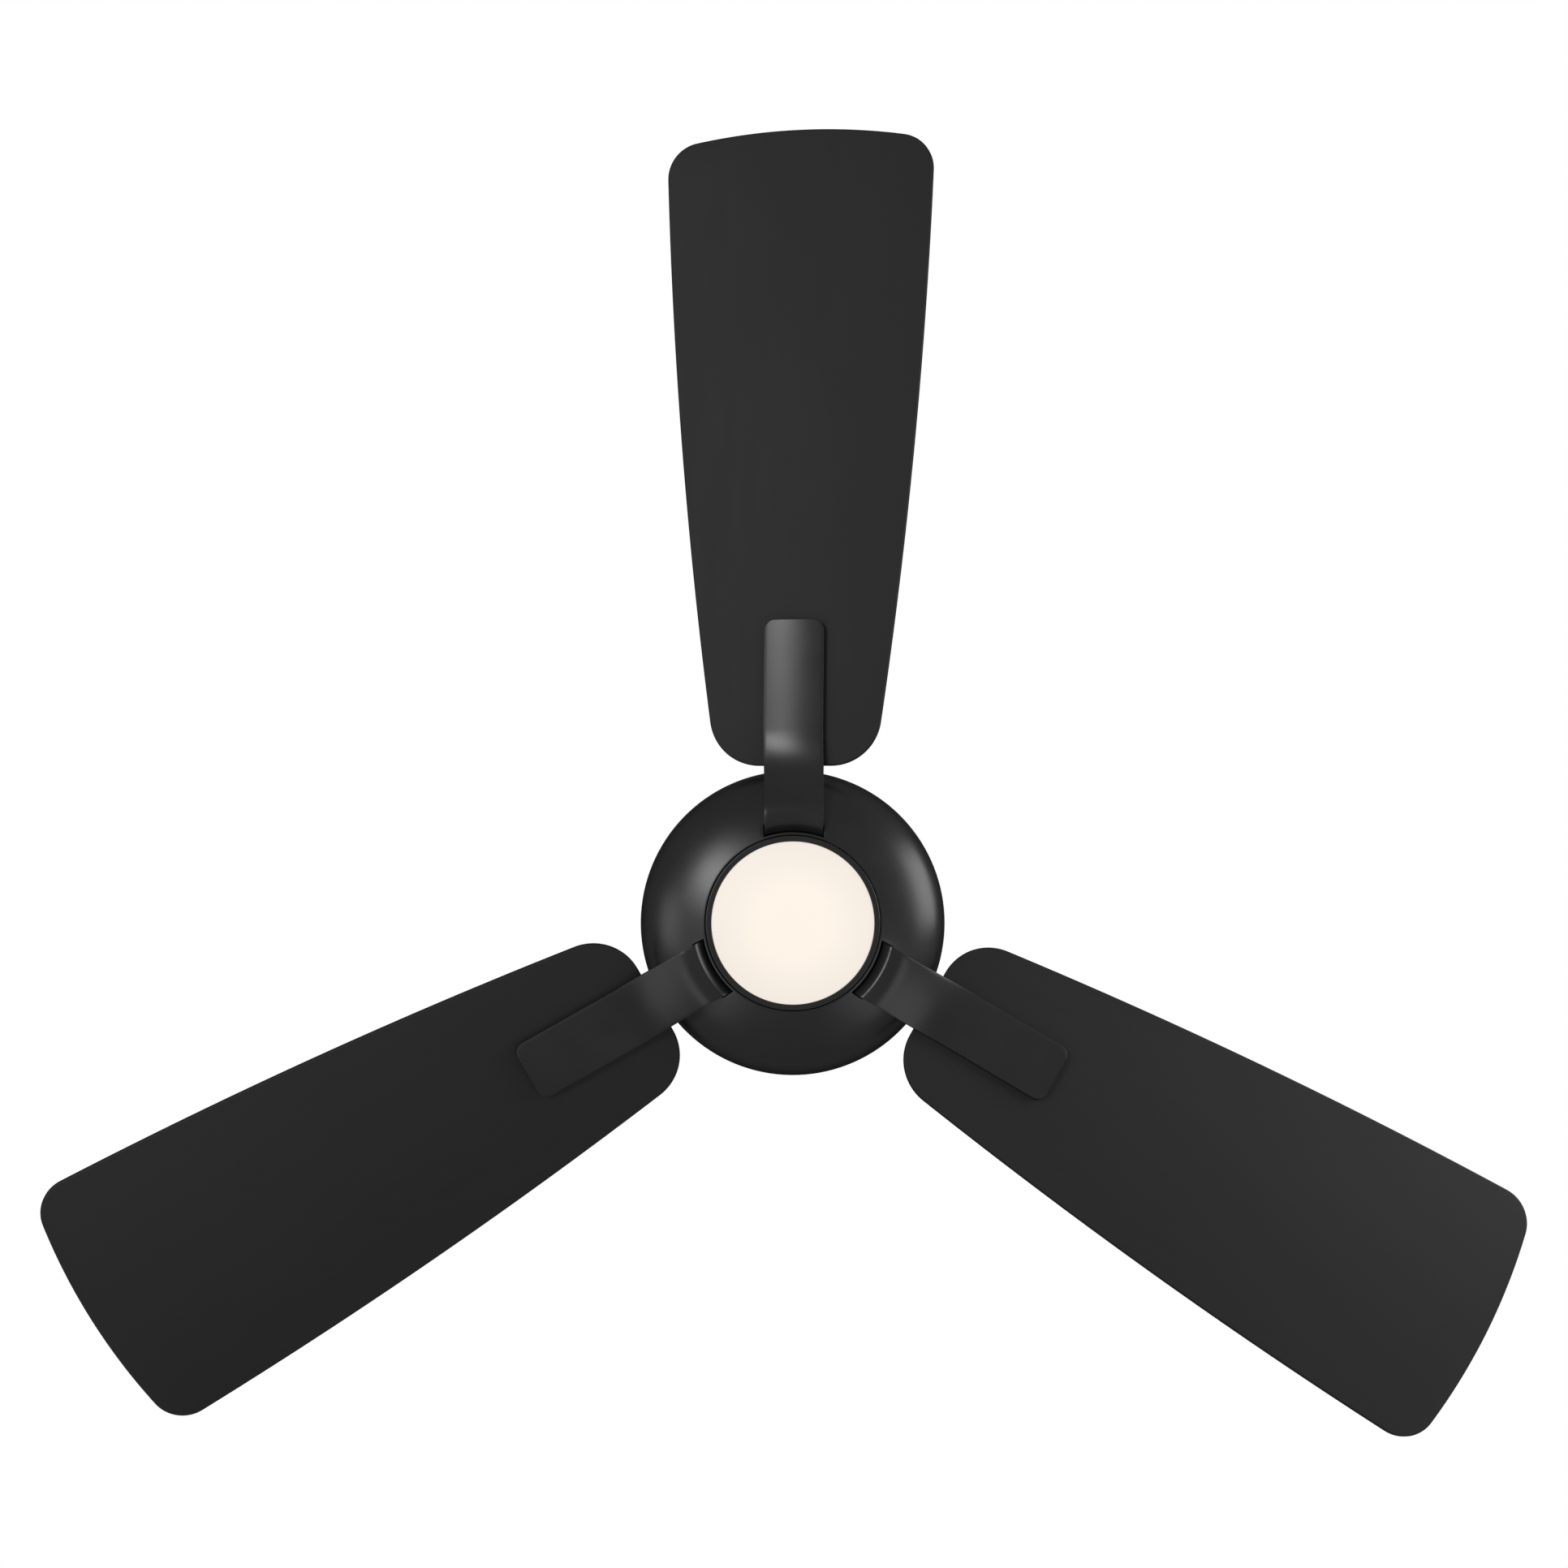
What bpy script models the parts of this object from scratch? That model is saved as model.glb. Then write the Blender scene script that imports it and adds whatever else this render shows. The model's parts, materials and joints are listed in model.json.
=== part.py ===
"""Ceiling fan with a light: three pitched blades on an outer-rotor motor, hung from a ball joint.

Metres, +Z up. The origin is the centre of the hanger bracket's top face, which lies against the
ceiling, so the whole fan is below z = 0. Heights are given as z in this one frame throughout.
The fan is three bodies: what is fixed to the ceiling, what hangs from the ball, and the rotor.
"""

import math

import bmesh
import bpy
from mathutils import Euler, Matrix, Vector

# Clearances
GAP = 0.0003
SCREW_PLAY = 0.0003
WELL_CLEAR = 0.010

# Bracket, fixed to the ceiling
PLATE_HALF_LENGTH = 0.0615
BRACKET_HALF_WIDTH = 0.022
BRACKET_THICKNESS = 0.0025
FLANGE_BOTTOM_Z = -0.018
LEG_OUTER_X = 0.0345
LEG_BOTTOM_Z = -0.054
LEDGE_REACH = 0.007
LEDGE_TOP_Z = -0.0195
BOX_SCREW_SPACING = 0.0889
BOX_SLOT_LENGTH = 0.012
BOX_SLOT_WIDTH = 0.0052

RECEIVER_HALF_LENGTH = 0.040
RECEIVER_HALF_WIDTH = 0.0305

# Screws: head radius, head height, shank radius, shank length
CANOPY_SCREW = (0.004, 0.0023, 0.002, 0.013)
ARM_SCREW = (0.0045, 0.0025, 0.0025, 0.0088)
BOWL_SCREW = (0.0045, 0.0025, 0.0025, 0.018)
BLADE_SCREW = (0.0045, 0.0025, 0.002, 0.0095)
SET_SCREW_RADIUS = 0.0025

# Ball and its seat
BALL_Z = -0.040
BALL_RADIUS = 0.027
BALL_TOP_Z = -0.030
SEAT_RADIUS = 0.0275
SEAT_OUTER_RADIUS = 0.033
SEAT_TOP_Z = -0.051
SEAT_BOTTOM_Z = -0.062
SEAT_HOLE_RADIUS = 0.018
KEY_HALF_WIDTH = 0.0022
KEY_ANGLES = (math.radians(48), math.radians(58))
KEYWAY_ANGLES = (math.radians(30), math.radians(76))
KEY_DEPTH_RADIUS = 0.0244
KEYWAY_DEPTH_RADIUS = 0.024
BALL_SET_SCREW_Z = -0.044
BALL_SET_SCREW_END = 0.024

# Canopy
CANOPY_RADIUS = 0.070
CANOPY_TOP_Z = -0.0006
CANOPY_SHOULDER_Z = -0.008
CANOPY_DEPTH = 0.064
CANOPY_HOLE_RADIUS = 0.0215
CANOPY_SCREW_Z = -0.010
SHEET = 0.0015

# Downrod and coupling
ROD_RADIUS = 0.01065
ROD_BORE_RADIUS = 0.008
ROD_TOP_Z = -0.028
ROD_LENGTH = 0.152
ROD_BOTTOM_Z = ROD_TOP_Z - ROD_LENGTH
ROD_PIN_RADIUS = 0.003
BALL_PIN_HALF_LENGTH = 0.020
CLEVIS_PIN_HEAD_RADIUS = 0.005
CLEVIS_PIN_Y = (-0.0185, 0.021)
CLIP_Y = 0.0185
CLIP_WIRE_RADIUS = 0.0009
COUPLING_SCREW_END = 0.019
HARNESS_RADIUS = 0.0016
HARNESS_OFFSET = 0.0057
BALL_PIN_Z = -0.036
CLEVIS_PIN_Z = -0.171
COUPLING_TOP_Z = -0.162
COUPLING_RADIUS = 0.0155
COUPLING_FLANGE_RADIUS = 0.024
COUPLING_FLANGE_Z = -0.200
COUPLING_BOTTOM_Z = -0.206
COVER_TOP_RADIUS = 0.012
COVER_BOTTOM_RADIUS = 0.037
COVER_HEIGHT = 0.056

# Motor
SHAFT_RADIUS = 0.0075
SHAFT_BORE_RADIUS = 0.0045
SHAFT_TOP_Z = -0.190
SHAFT_BOTTOM_Z = -0.320
STATOR_SEAT_RADIUS = 0.011
STATOR_SEAT_Z = (-0.238, -0.289)
BEARING_RADIUS = 0.0175
BEARING_WIDTH = 0.011
UPPER_BEARING_Z = -0.222
LOWER_BEARING_Z = -0.291
CORE_TOP_Z = -0.255
CORE_BOTTOM_Z = -0.277
CORE_RADIUS = 0.0615
CORE_SLOTS = 12
WINDING_TOP_Z = -0.245
WINDING_BOTTOM_Z = -0.287
YOKE_RADIUS = 0.034
SHOE_RADIUS = 0.057
SHOE_HALF_ANGLE = math.radians(12.3)
TOOTH_HALF_WIDTH = 0.005
WINDING_RADII = (0.039, 0.054)
MAGNET_INNER_RADIUS = 0.0626
MAGNET_Z = (-0.252, -0.280)
RACE_RADII = (0.0105, 0.0135)
CASE_RADIUS = 0.0705
CASE_WALL_RADIUS = 0.068
CASE_BOSS_TOP_Z = -0.219
CASE_BOSS_RADIUS = 0.0215
CASE_SHOULDER_Z = (-0.233, -0.235, -0.2405)
CASE_PLATE = 0.0025
SHAFT_EYE_RADIUS = 0.012
CASE_BOTTOM_Z = -0.2932
BASE_RADIUS = 0.092
BASE_TOP_Z = -0.2935
BASE_BOTTOM_Z = -0.3005
BASE_BOSS_RADIUS = 0.022
BASE_BOSS_Z = (-0.290, -0.3045)
SPIGOT_RADII = (0.064, 0.0677)
SPIGOT_TOP_Z = -0.291

# Still upper housing and turning bowl
HOUSING_RADIUS = 0.1250
HOUSING_TOP_Z = COUPLING_BOTTOM_Z - GAP
HOUSING_TOP_RADIUS = 0.038
HOUSING_BOTTOM_Z = -0.295
BOWL_RADIUS = 0.1260
BOWL_EQUATOR_Z = -0.300
BOWL_DEPTH = 0.048
BOWL_RIM_Z = -0.2975
BOWL_HOLE_RADIUS = 0.0716
BOWL_WALL = 0.0018
BOWL_LIP_RADIUS = 0.0732
BOWL_LIP_Z = -0.332
SLOT_RADII = (0.074, 0.084)
SLOT_HALF_WIDTH = 0.0248
BOSS_CIRCLE_RADIUS = 0.084
BOSS_RADIUS = 0.0045
BOSS_THREAD_BOTTOM_Z = -0.313

# Blades and arms
BLADE_COUNT = 3
FIRST_BLADE_ANGLE = math.radians(90)
BLADE_STEP = 2 * math.pi / BLADE_COUNT
BLADE_PITCH = math.radians(12)
BLADE_TIP_RADIUS = 0.660
BLADE_ROOT_RADIUS = 0.1295
BLADE_THICKNESS = 0.006
BLADE_FACE_Z = -0.3164
BLADE_EDGE_ROUND = 0.0015
SIDE_INNER = (0.187, 0.0748)
SIDE_OUTER = (0.615, 0.1124)
SIDE_BOW = 0.0052
TIP_ARC_RADIUS = 0.518
TIP_CORNER_RADIUS = 0.0295
ROOT_CORNER_RADIUS = 0.042
BLADE_SCREW_SPOTS = ((0.165, -0.012), (0.165, 0.012), (0.232, 0.0))

ARM_THICKNESS = 0.0036
ARM_TAB_INNER_U = 0.046
ARM_TAB_TOP_Z = BASE_BOTTOM_Z - GAP
ARM_TAB_BEND_RADIUS = 0.0081
ARM_LEG_RADIUS = 0.0782
ARM_CURL_RADII = (0.0006, 0.0015)
ARM_CURL_END_U = 0.0842
ARM_CURL_Z = -0.3387
ARM_SLOPE_U = (0.089, 0.099, 0.122, 0.160)
ARM_END_U = 0.250
ARM_END_CORNER = 0.009
ARM_HALF_WIDTHS = (0.024, 0.025)
ARM_EDGE_DEPTH = 0.006
ARM_CROWN_SLOPES = (0.123, -0.158)
ARM_SCREW_SPOTS = ((0.056, -0.012), (0.056, 0.012))
ARM_SCREW_HOLE_TOP_Z = -0.2947
BLADE_SCREW_HOLE_DEPTH = 0.0036

# Light
PAN_TOP_Z = -0.310
PAN_RADIUS = 0.069
PAN_BOTTOM_Z = -0.3373
PAN_HOLE_RADIUS = 0.0063
SHELF_RADIUS = 0.052
SHELF_Z = -0.328
BOARD_RADIUS = 0.062
BOARD_TOP_Z = -0.3298
BOARD_THICKNESS = 0.0016
DRIVER_TOP_Z = SHAFT_BOTTOM_Z - 0.002
DRIVER_BOTTOM_Z = BOARD_TOP_Z + 0.0006
DRIVER_HALF_SIZE = (0.030, 0.015)
NUT_HEIGHT = 0.006
LOCK_NUT_RADIUS = 0.0138
SHAFT_NUT_RADIUS = 0.0110
LED_COUNT = 12
LED_CIRCLE_RADIUS = 0.045
LED_HALF_SIZE = 0.0025
LED_HEIGHT = 0.0008
TRIM_RADIUS = 0.0712
TRIM_INNER_RADIUS = 0.0664
TRIM_TOP_Z = -0.331
TRIM_BOTTOM_Z = -0.3414
LENS_RADIUS = 0.0658
LENS_FLANGE_RADIUS = 0.0689
LENS_FLANGE_Z = (-0.3377, -0.3391)
LENS_EDGE_Z = -0.3408
LENS_SAG = 0.005
LENS_WALL = 0.0025

# Finishes: colour, roughness, metallic
BLACK_SATIN = ((0.020, 0.020, 0.021), 0.38, 0.0)
BLACK_MATT = ((0.019, 0.019, 0.020), 0.58, 0.0)
ZINC_STEEL = ((0.55, 0.56, 0.57), 0.40, 1.0)
DARK_STEEL = ((0.10, 0.10, 0.11), 0.45, 0.8)
CAST_ALUMINIUM = ((0.50, 0.51, 0.52), 0.55, 1.0)
BEARING_STEEL = ((0.62, 0.62, 0.63), 0.20, 1.0)
COPPER_WIRE = ((0.45, 0.16, 0.06), 0.40, 0.6)
FERRITE = ((0.06, 0.06, 0.065), 0.70, 0.0)
BLACK_PLASTIC = ((0.03, 0.03, 0.03), 0.50, 0.0)
WHITE_PLASTIC = ((0.75, 0.75, 0.73), 0.45, 0.0)
WHITE_BOARD = ((0.80, 0.80, 0.78), 0.50, 0.0)
OPAL = ((0.95, 0.91, 0.84), 0.35, 0.0)

# Steps round turned pieces
FINE = 36
MEDIUM = 24
COARSE = 16
SCREW_STEPS = 10
MERGE_DISTANCE = 1e-5


# Frames that carry the moving bodies

def pivot_empty(name, height):
    """An empty on the Z axis, where a joint is."""
    empty = new_object(name, None)
    empty.location = (0, 0, height)
    empty["height"] = height
    return empty


def hang_on(obj, pivot):
    """Parents obj to a pivot, and leaves it where it is."""
    obj.parent = pivot
    obj.matrix_parent_inverse = Matrix.Translation((0, 0, -pivot["height"]))


# Making and combining meshes

def new_object(name, mesh):
    obj = bpy.data.objects.new(name, mesh)
    bpy.context.scene.collection.objects.link(obj)
    return obj


def mesh_object(name, bm):
    """An object from a bmesh, with its faces turned out."""
    bmesh.ops.recalc_face_normals(bm, faces=bm.faces)
    mesh = bpy.data.meshes.new(name)
    bm.to_mesh(mesh)
    bm.free()
    return new_object(name, mesh)


def bake(obj):
    """Replaces the object's mesh with what its modifiers make of it."""
    bpy.context.view_layer.update()
    depsgraph = bpy.context.evaluated_depsgraph_get()
    mesh = bpy.data.meshes.new_from_object(obj.evaluated_get(depsgraph))
    obj.modifiers.clear()
    obj.data = mesh


def combine(obj, operation, tool):
    """Joins or cuts obj with a tool object, which is used up."""
    modifier = obj.modifiers.new(operation.title(), "BOOLEAN")
    modifier.operation = operation
    modifier.solver = "EXACT"
    modifier.object = tool
    bake(obj)
    bpy.data.objects.remove(tool, do_unlink=True)


def cut(obj, tool):
    combine(obj, "DIFFERENCE", tool)


def join(obj, tool):
    combine(obj, "UNION", tool)


def turned(name, profile, steps):
    """A turned piece. Its (radius, height) profile runs down the outer side."""
    points = [(radius, 0, height) for radius, height in profile]
    edges = [(i, i + 1) for i in range(len(points) - 1)]
    if profile[0][0] > 0:
        edges.append((len(points) - 1, 0))
    mesh = bpy.data.meshes.new(name)
    mesh.from_pydata(points, edges, [])
    obj = new_object(name, mesh)
    screw = obj.modifiers.new("Turn", "SCREW")
    screw.axis = "Z"
    screw.angle = 2 * math.pi
    screw.steps = steps
    screw.render_steps = steps
    screw.use_merge_vertices = True
    screw.merge_threshold = MERGE_DISTANCE
    screw.use_smooth_shade = True
    return obj


def block(name, low, high):
    """A box between two corners."""
    bm = bmesh.new()
    size = Vector(high) - Vector(low)
    centre = (Vector(high) + Vector(low)) / 2
    bmesh.ops.create_cube(bm, size=1, matrix=Matrix.Translation(centre) @ Matrix.Diagonal((*size, 1)))
    return mesh_object(name, bm)


def rod(name, radius, start, end, sides=SCREW_STEPS):
    """A round bar between two points."""
    span = Vector(end) - Vector(start)
    turn = span.to_track_quat("Z", "Y").to_matrix().to_4x4()
    place = Matrix.Translation((Vector(start) + Vector(end)) / 2) @ turn
    bm = bmesh.new()
    bmesh.ops.create_cone(
        bm, cap_ends=True, segments=sides, radius1=radius, radius2=radius, depth=span.length, matrix=place
    )
    return mesh_object(name, bm)


def prism(name, outline, low, high, axis="Z"):
    """A flat outline pulled out between two levels of an axis."""
    bm = bmesh.new()
    if axis == "Z":
        points = [(x, y, low) for x, y in outline]
        pull = (0, 0, high - low)
    else:
        points = [(x, low, z) for x, z in outline]
        pull = (0, high - low, 0)
    face = bm.faces.new([bm.verts.new(point) for point in points])
    pulled = bmesh.ops.extrude_face_region(bm, geom=[face])
    moved = [item for item in pulled["geom"] if isinstance(item, bmesh.types.BMVert)]
    bmesh.ops.translate(bm, verts=moved, vec=pull)
    return mesh_object(name, bm)


def arc(centre, radius, start, end, steps):
    """Points on an arc, both ends included."""
    angles = [start + (end - start) * i / steps for i in range(steps + 1)]
    return [(centre[0] + radius * math.cos(a), centre[1] + radius * math.sin(a)) for a in angles]


def ellipse_height(radius, half_width, depth):
    """How far an ellipse of that half width and depth stands off its long axis."""
    return depth * math.sqrt(max(0.0, 1 - (radius / half_width) ** 2))


def dome(inner_radius, half_width, depth, equator_z, steps):
    """Profile points of half an ellipse from a radius out to its widest point, upward for depth > 0."""
    first = math.acos(inner_radius / half_width)
    angles = [first * (1 - i / steps) for i in range(steps + 1)]
    return [(half_width * math.cos(a), equator_z + depth * math.sin(a)) for a in angles]


def bevelled(obj, width, segments=1):
    """Rounds the piece's sharp edges."""
    modifier = obj.modifiers.new("Edges", "BEVEL")
    modifier.width = width
    modifier.segments = segments
    modifier.limit_method = "ANGLE"
    modifier.angle_limit = math.radians(50)
    bake(obj)


def finished(obj, finish, pivot=None):
    """Gives a piece its material, and parents it to its body's pivot."""
    color, roughness, metallic = finish
    material = bpy.data.materials.new(obj.name + "_finish")
    material.use_nodes = True
    shader = material.node_tree.nodes["Principled BSDF"]
    shader.inputs["Base Color"].default_value = (*color, 1)
    shader.inputs["Roughness"].default_value = roughness
    shader.inputs["Metallic"].default_value = metallic
    obj.data.materials.clear()
    obj.data.materials.append(material)
    if pivot:
        hang_on(obj, pivot)
    return obj


def screw(name, head_radius, head_height, shank_radius, shank_length):
    """A pan-head screw along Z: its head rests on z = 0 and its shank points down."""
    edge = head_height * 0.4
    profile = [
        (0, head_height),
        (head_radius - edge, head_height),
        (head_radius, head_height - edge),
        (head_radius, 0),
        (shank_radius, 0),
        (shank_radius, -shank_length),
        (0, -shank_length),
    ]
    obj = turned(name, profile, SCREW_STEPS)
    bake(obj)
    return obj


# Pieces fixed to the ceiling

def hanger_bracket():
    """Plate with end flanges, two legs with ledges for the receiver, and the keyed ball seat."""
    half = [
        (PLATE_HALF_LENGTH, 0),
        (PLATE_HALF_LENGTH, FLANGE_BOTTOM_Z),
        (PLATE_HALF_LENGTH - BRACKET_THICKNESS, FLANGE_BOTTOM_Z),
        (PLATE_HALF_LENGTH - BRACKET_THICKNESS, -BRACKET_THICKNESS),
        (LEG_OUTER_X, -BRACKET_THICKNESS),
        (LEG_OUTER_X, LEG_BOTTOM_Z),
        (LEG_OUTER_X - BRACKET_THICKNESS, LEG_BOTTOM_Z),
        (LEG_OUTER_X - BRACKET_THICKNESS, LEDGE_TOP_Z - BRACKET_THICKNESS),
        (LEG_OUTER_X - LEDGE_REACH, LEDGE_TOP_Z - BRACKET_THICKNESS),
        (LEG_OUTER_X - LEDGE_REACH, LEDGE_TOP_Z),
        (LEG_OUTER_X - BRACKET_THICKNESS, LEDGE_TOP_Z),
        (LEG_OUTER_X - BRACKET_THICKNESS, -BRACKET_THICKNESS),
    ]
    outline = half + [(-x, z) for x, z in reversed(half)]
    bracket = prism("hanger_bracket", outline, -BRACKET_HALF_WIDTH, BRACKET_HALF_WIDTH, axis="Y")
    join(bracket, ball_seat())
    join(bracket, sector("key", KEY_DEPTH_RADIUS, SEAT_RADIUS + 0.002, KEY_ANGLES, KEY_HALF_WIDTH))
    entry = ROD_RADIUS + 3 * GAP
    low = (-entry, -SEAT_OUTER_RADIUS - WELL_CLEAR, SEAT_BOTTOM_Z - WELL_CLEAR)
    cut(bracket, block("rod_entry", low, (entry, 0, SEAT_TOP_Z + BRACKET_THICKNESS)))
    slot_reach = BOX_SLOT_LENGTH / 2 - BOX_SLOT_WIDTH / 2
    for side in (-1, 1):
        centre = side * BOX_SCREW_SPACING / 2
        ends = arc((centre + slot_reach, 0), BOX_SLOT_WIDTH / 2, -math.pi / 2, math.pi / 2, 4)
        ends += arc((centre - slot_reach, 0), BOX_SLOT_WIDTH / 2, math.pi / 2, 3 * math.pi / 2, 4)
        cut(bracket, prism("box_slot", ends, -WELL_CLEAR, WELL_CLEAR))
        near = (side * (PLATE_HALF_LENGTH - 2 * BRACKET_THICKNESS), 0, CANOPY_SCREW_Z)
        far = (side * (PLATE_HALF_LENGTH + BRACKET_THICKNESS), 0, CANOPY_SCREW_Z)
        cut(bracket, rod("canopy_screw_hole", CANOPY_SCREW[2] + SCREW_PLAY, near, far))
    return finished(bracket, ZINC_STEEL)


def ball_seat():
    """Ring whose inside is part of a sphere about the ball's centre."""
    low = math.asin(SEAT_HOLE_RADIUS / SEAT_RADIUS)
    high = math.acos((BALL_Z - SEAT_TOP_Z) / SEAT_RADIUS)
    steps = 4
    angles = [low + (high - low) * i / steps for i in range(steps + 1)]
    sphere = [(SEAT_RADIUS * math.sin(a), BALL_Z - SEAT_RADIUS * math.cos(a)) for a in angles]
    profile = [
        (SEAT_OUTER_RADIUS, SEAT_TOP_Z),
        (SEAT_OUTER_RADIUS, SEAT_BOTTOM_Z + 0.006),
        (SEAT_OUTER_RADIUS - 0.006, SEAT_BOTTOM_Z),
        (SEAT_HOLE_RADIUS, SEAT_BOTTOM_Z),
    ]
    return turned("seat", profile + sphere, MEDIUM)


def sector(name, inner, outer, angles, half_width):
    """Block between two radii about the ball's centre, over angles measured from straight down."""
    start, end = (angle - math.pi / 2 for angle in angles)
    outline = arc((0, BALL_Z), outer, start, end, 5) + arc((0, BALL_Z), inner, end, start, 5)
    return prism(name, outline, -half_width, half_width, axis="Y")


def canopy():
    """Spun cup over the bracket, with a hole for the swing of the downrod."""
    inner_half_width = CANOPY_RADIUS - SHEET
    inner_depth = CANOPY_DEPTH - SHEET
    outside = dome(CANOPY_HOLE_RADIUS, CANOPY_RADIUS, -CANOPY_DEPTH, CANOPY_SHOULDER_Z, 6)
    inside = dome(CANOPY_HOLE_RADIUS, inner_half_width, -inner_depth, CANOPY_SHOULDER_Z, 6)
    profile = [(CANOPY_RADIUS, CANOPY_TOP_Z)] + outside[::-1] + inside + [(inner_half_width, CANOPY_TOP_Z)]
    obj = turned("canopy", profile, MEDIUM)
    reach = CANOPY_RADIUS + WELL_CLEAR
    hole = CANOPY_SCREW[2] + SCREW_PLAY
    cut(obj, rod("screw_holes", hole, (-reach, 0, CANOPY_SCREW_Z), (reach, 0, CANOPY_SCREW_Z)))
    return finished(obj, BLACK_SATIN)


def canopy_screws():
    pattern = screw("pattern", *CANOPY_SCREW)
    for number, side in enumerate((1, -1), 1):
        obj = new_object(f"canopy_screw_{number}", pattern.data.copy())
        obj.location = (side * (CANOPY_RADIUS + GAP), 0, CANOPY_SCREW_Z)
        obj.rotation_euler = (0, side * math.pi / 2, 0)
        finished(obj, BLACK_SATIN)
    bpy.data.objects.remove(pattern, do_unlink=True)


def receiver_module():
    """Control receiver, lying on the bracket's ledges."""
    top = -BRACKET_THICKNESS - GAP
    low = (-RECEIVER_HALF_WIDTH, -RECEIVER_HALF_LENGTH, LEDGE_TOP_Z + GAP)
    obj = block("receiver_module", low, (RECEIVER_HALF_WIDTH, RECEIVER_HALF_LENGTH, top))
    bevelled(obj, 0.002)
    return finished(obj, BLACK_PLASTIC)


# Pieces that hang from the ball

def hanger_ball(pivot):
    """Ball with the rod's bore, a notch for the cross pin and the keyway that stops it turning."""
    bore = ROD_RADIUS + GAP
    top = math.asin((BALL_TOP_Z - BALL_Z) / BALL_RADIUS)
    bottom = -math.acos(bore / BALL_RADIUS)
    profile = arc((0, BALL_Z), BALL_RADIUS, top, bottom, 8) + [(bore, BALL_TOP_Z)]
    obj = turned("hanger_ball", profile, MEDIUM)
    half = ROD_PIN_RADIUS + GAP
    low = (-half, -BALL_PIN_HALF_LENGTH - 3 * GAP, BALL_PIN_Z - half)
    cut(obj, block("notch", low, (half, BALL_PIN_HALF_LENGTH + 3 * GAP, BALL_TOP_Z + WELL_CLEAR)))
    keyway_outer = BALL_RADIUS + WELL_CLEAR
    cut(obj, sector("keyway", KEYWAY_DEPTH_RADIUS, keyway_outer, KEYWAY_ANGLES, KEY_HALF_WIDTH + GAP))
    start, end = (-ROD_RADIUS, 0, BALL_SET_SCREW_Z), (-keyway_outer, 0, BALL_SET_SCREW_Z)
    cut(obj, rod("set_screw_hole", SET_SCREW_RADIUS + SCREW_PLAY, start, end))
    finished(obj, DARK_STEEL, pivot)

    start, end = (0, -BALL_PIN_HALF_LENGTH, BALL_PIN_Z), (0, BALL_PIN_HALF_LENGTH, BALL_PIN_Z)
    finished(rod("ball_pin", ROD_PIN_RADIUS, start, end), ZINC_STEEL, pivot)
    start, end = (-ROD_RADIUS - GAP, 0, BALL_SET_SCREW_Z), (-BALL_SET_SCREW_END, 0, BALL_SET_SCREW_Z)
    finished(rod("ball_set_screw", SET_SCREW_RADIUS, start, end), DARK_STEEL, pivot)


def downrod(pivot):
    profile = [
        (ROD_RADIUS, ROD_TOP_Z),
        (ROD_RADIUS, ROD_BOTTOM_Z),
        (ROD_BORE_RADIUS, ROD_BOTTOM_Z),
        (ROD_BORE_RADIUS, ROD_TOP_Z),
    ]
    obj = turned("downrod", profile, COARSE)
    for height in (BALL_PIN_Z, CLEVIS_PIN_Z):
        start, end = (0, -ROD_RADIUS - WELL_CLEAR, height), (0, ROD_RADIUS + WELL_CLEAR, height)
        cut(obj, rod("pin_hole", ROD_PIN_RADIUS + GAP, start, end))
    finished(obj, BLACK_SATIN, pivot)


def wire_harness(pivot):
    """Lead down the inside of the rod, beside its two pins, and down the hollow shaft to the driver."""
    top, bottom = ROD_TOP_Z + 0.004, DRIVER_TOP_Z + GAP
    leave, arrive = CLEVIS_PIN_Z - 0.004, CLEVIS_PIN_Z - 0.025
    points = straight_run(HARNESS_OFFSET, top, leave, 18)
    steps = 6
    for i in range(1, steps):
        offset = HARNESS_OFFSET * (1 + math.cos(math.pi * i / steps)) / 2
        points.append((offset, 0, leave + (arrive - leave) * i / steps))
    points += straight_run(0, arrive, bottom, 14)
    finished(wire("wire_harness", points, HARNESS_RADIUS), BLACK_PLASTIC, pivot)


def straight_run(offset, top, bottom, steps):
    return [(offset, 0, top + (bottom - top) * i / steps) for i in range(steps + 1)]


def wire(name, points, radius):
    """A round wire with closed ends through the points."""
    curve = bpy.data.curves.new(name, "CURVE")
    curve.dimensions = "3D"
    curve.bevel_depth = radius
    curve.bevel_resolution = 2
    curve.use_fill_caps = True
    spline = curve.splines.new("POLY")
    spline.points.add(len(points) - 1)
    for point, place in zip(spline.points, points):
        point.co = (*place, 1)
    return new_object(name, curve)


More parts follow.
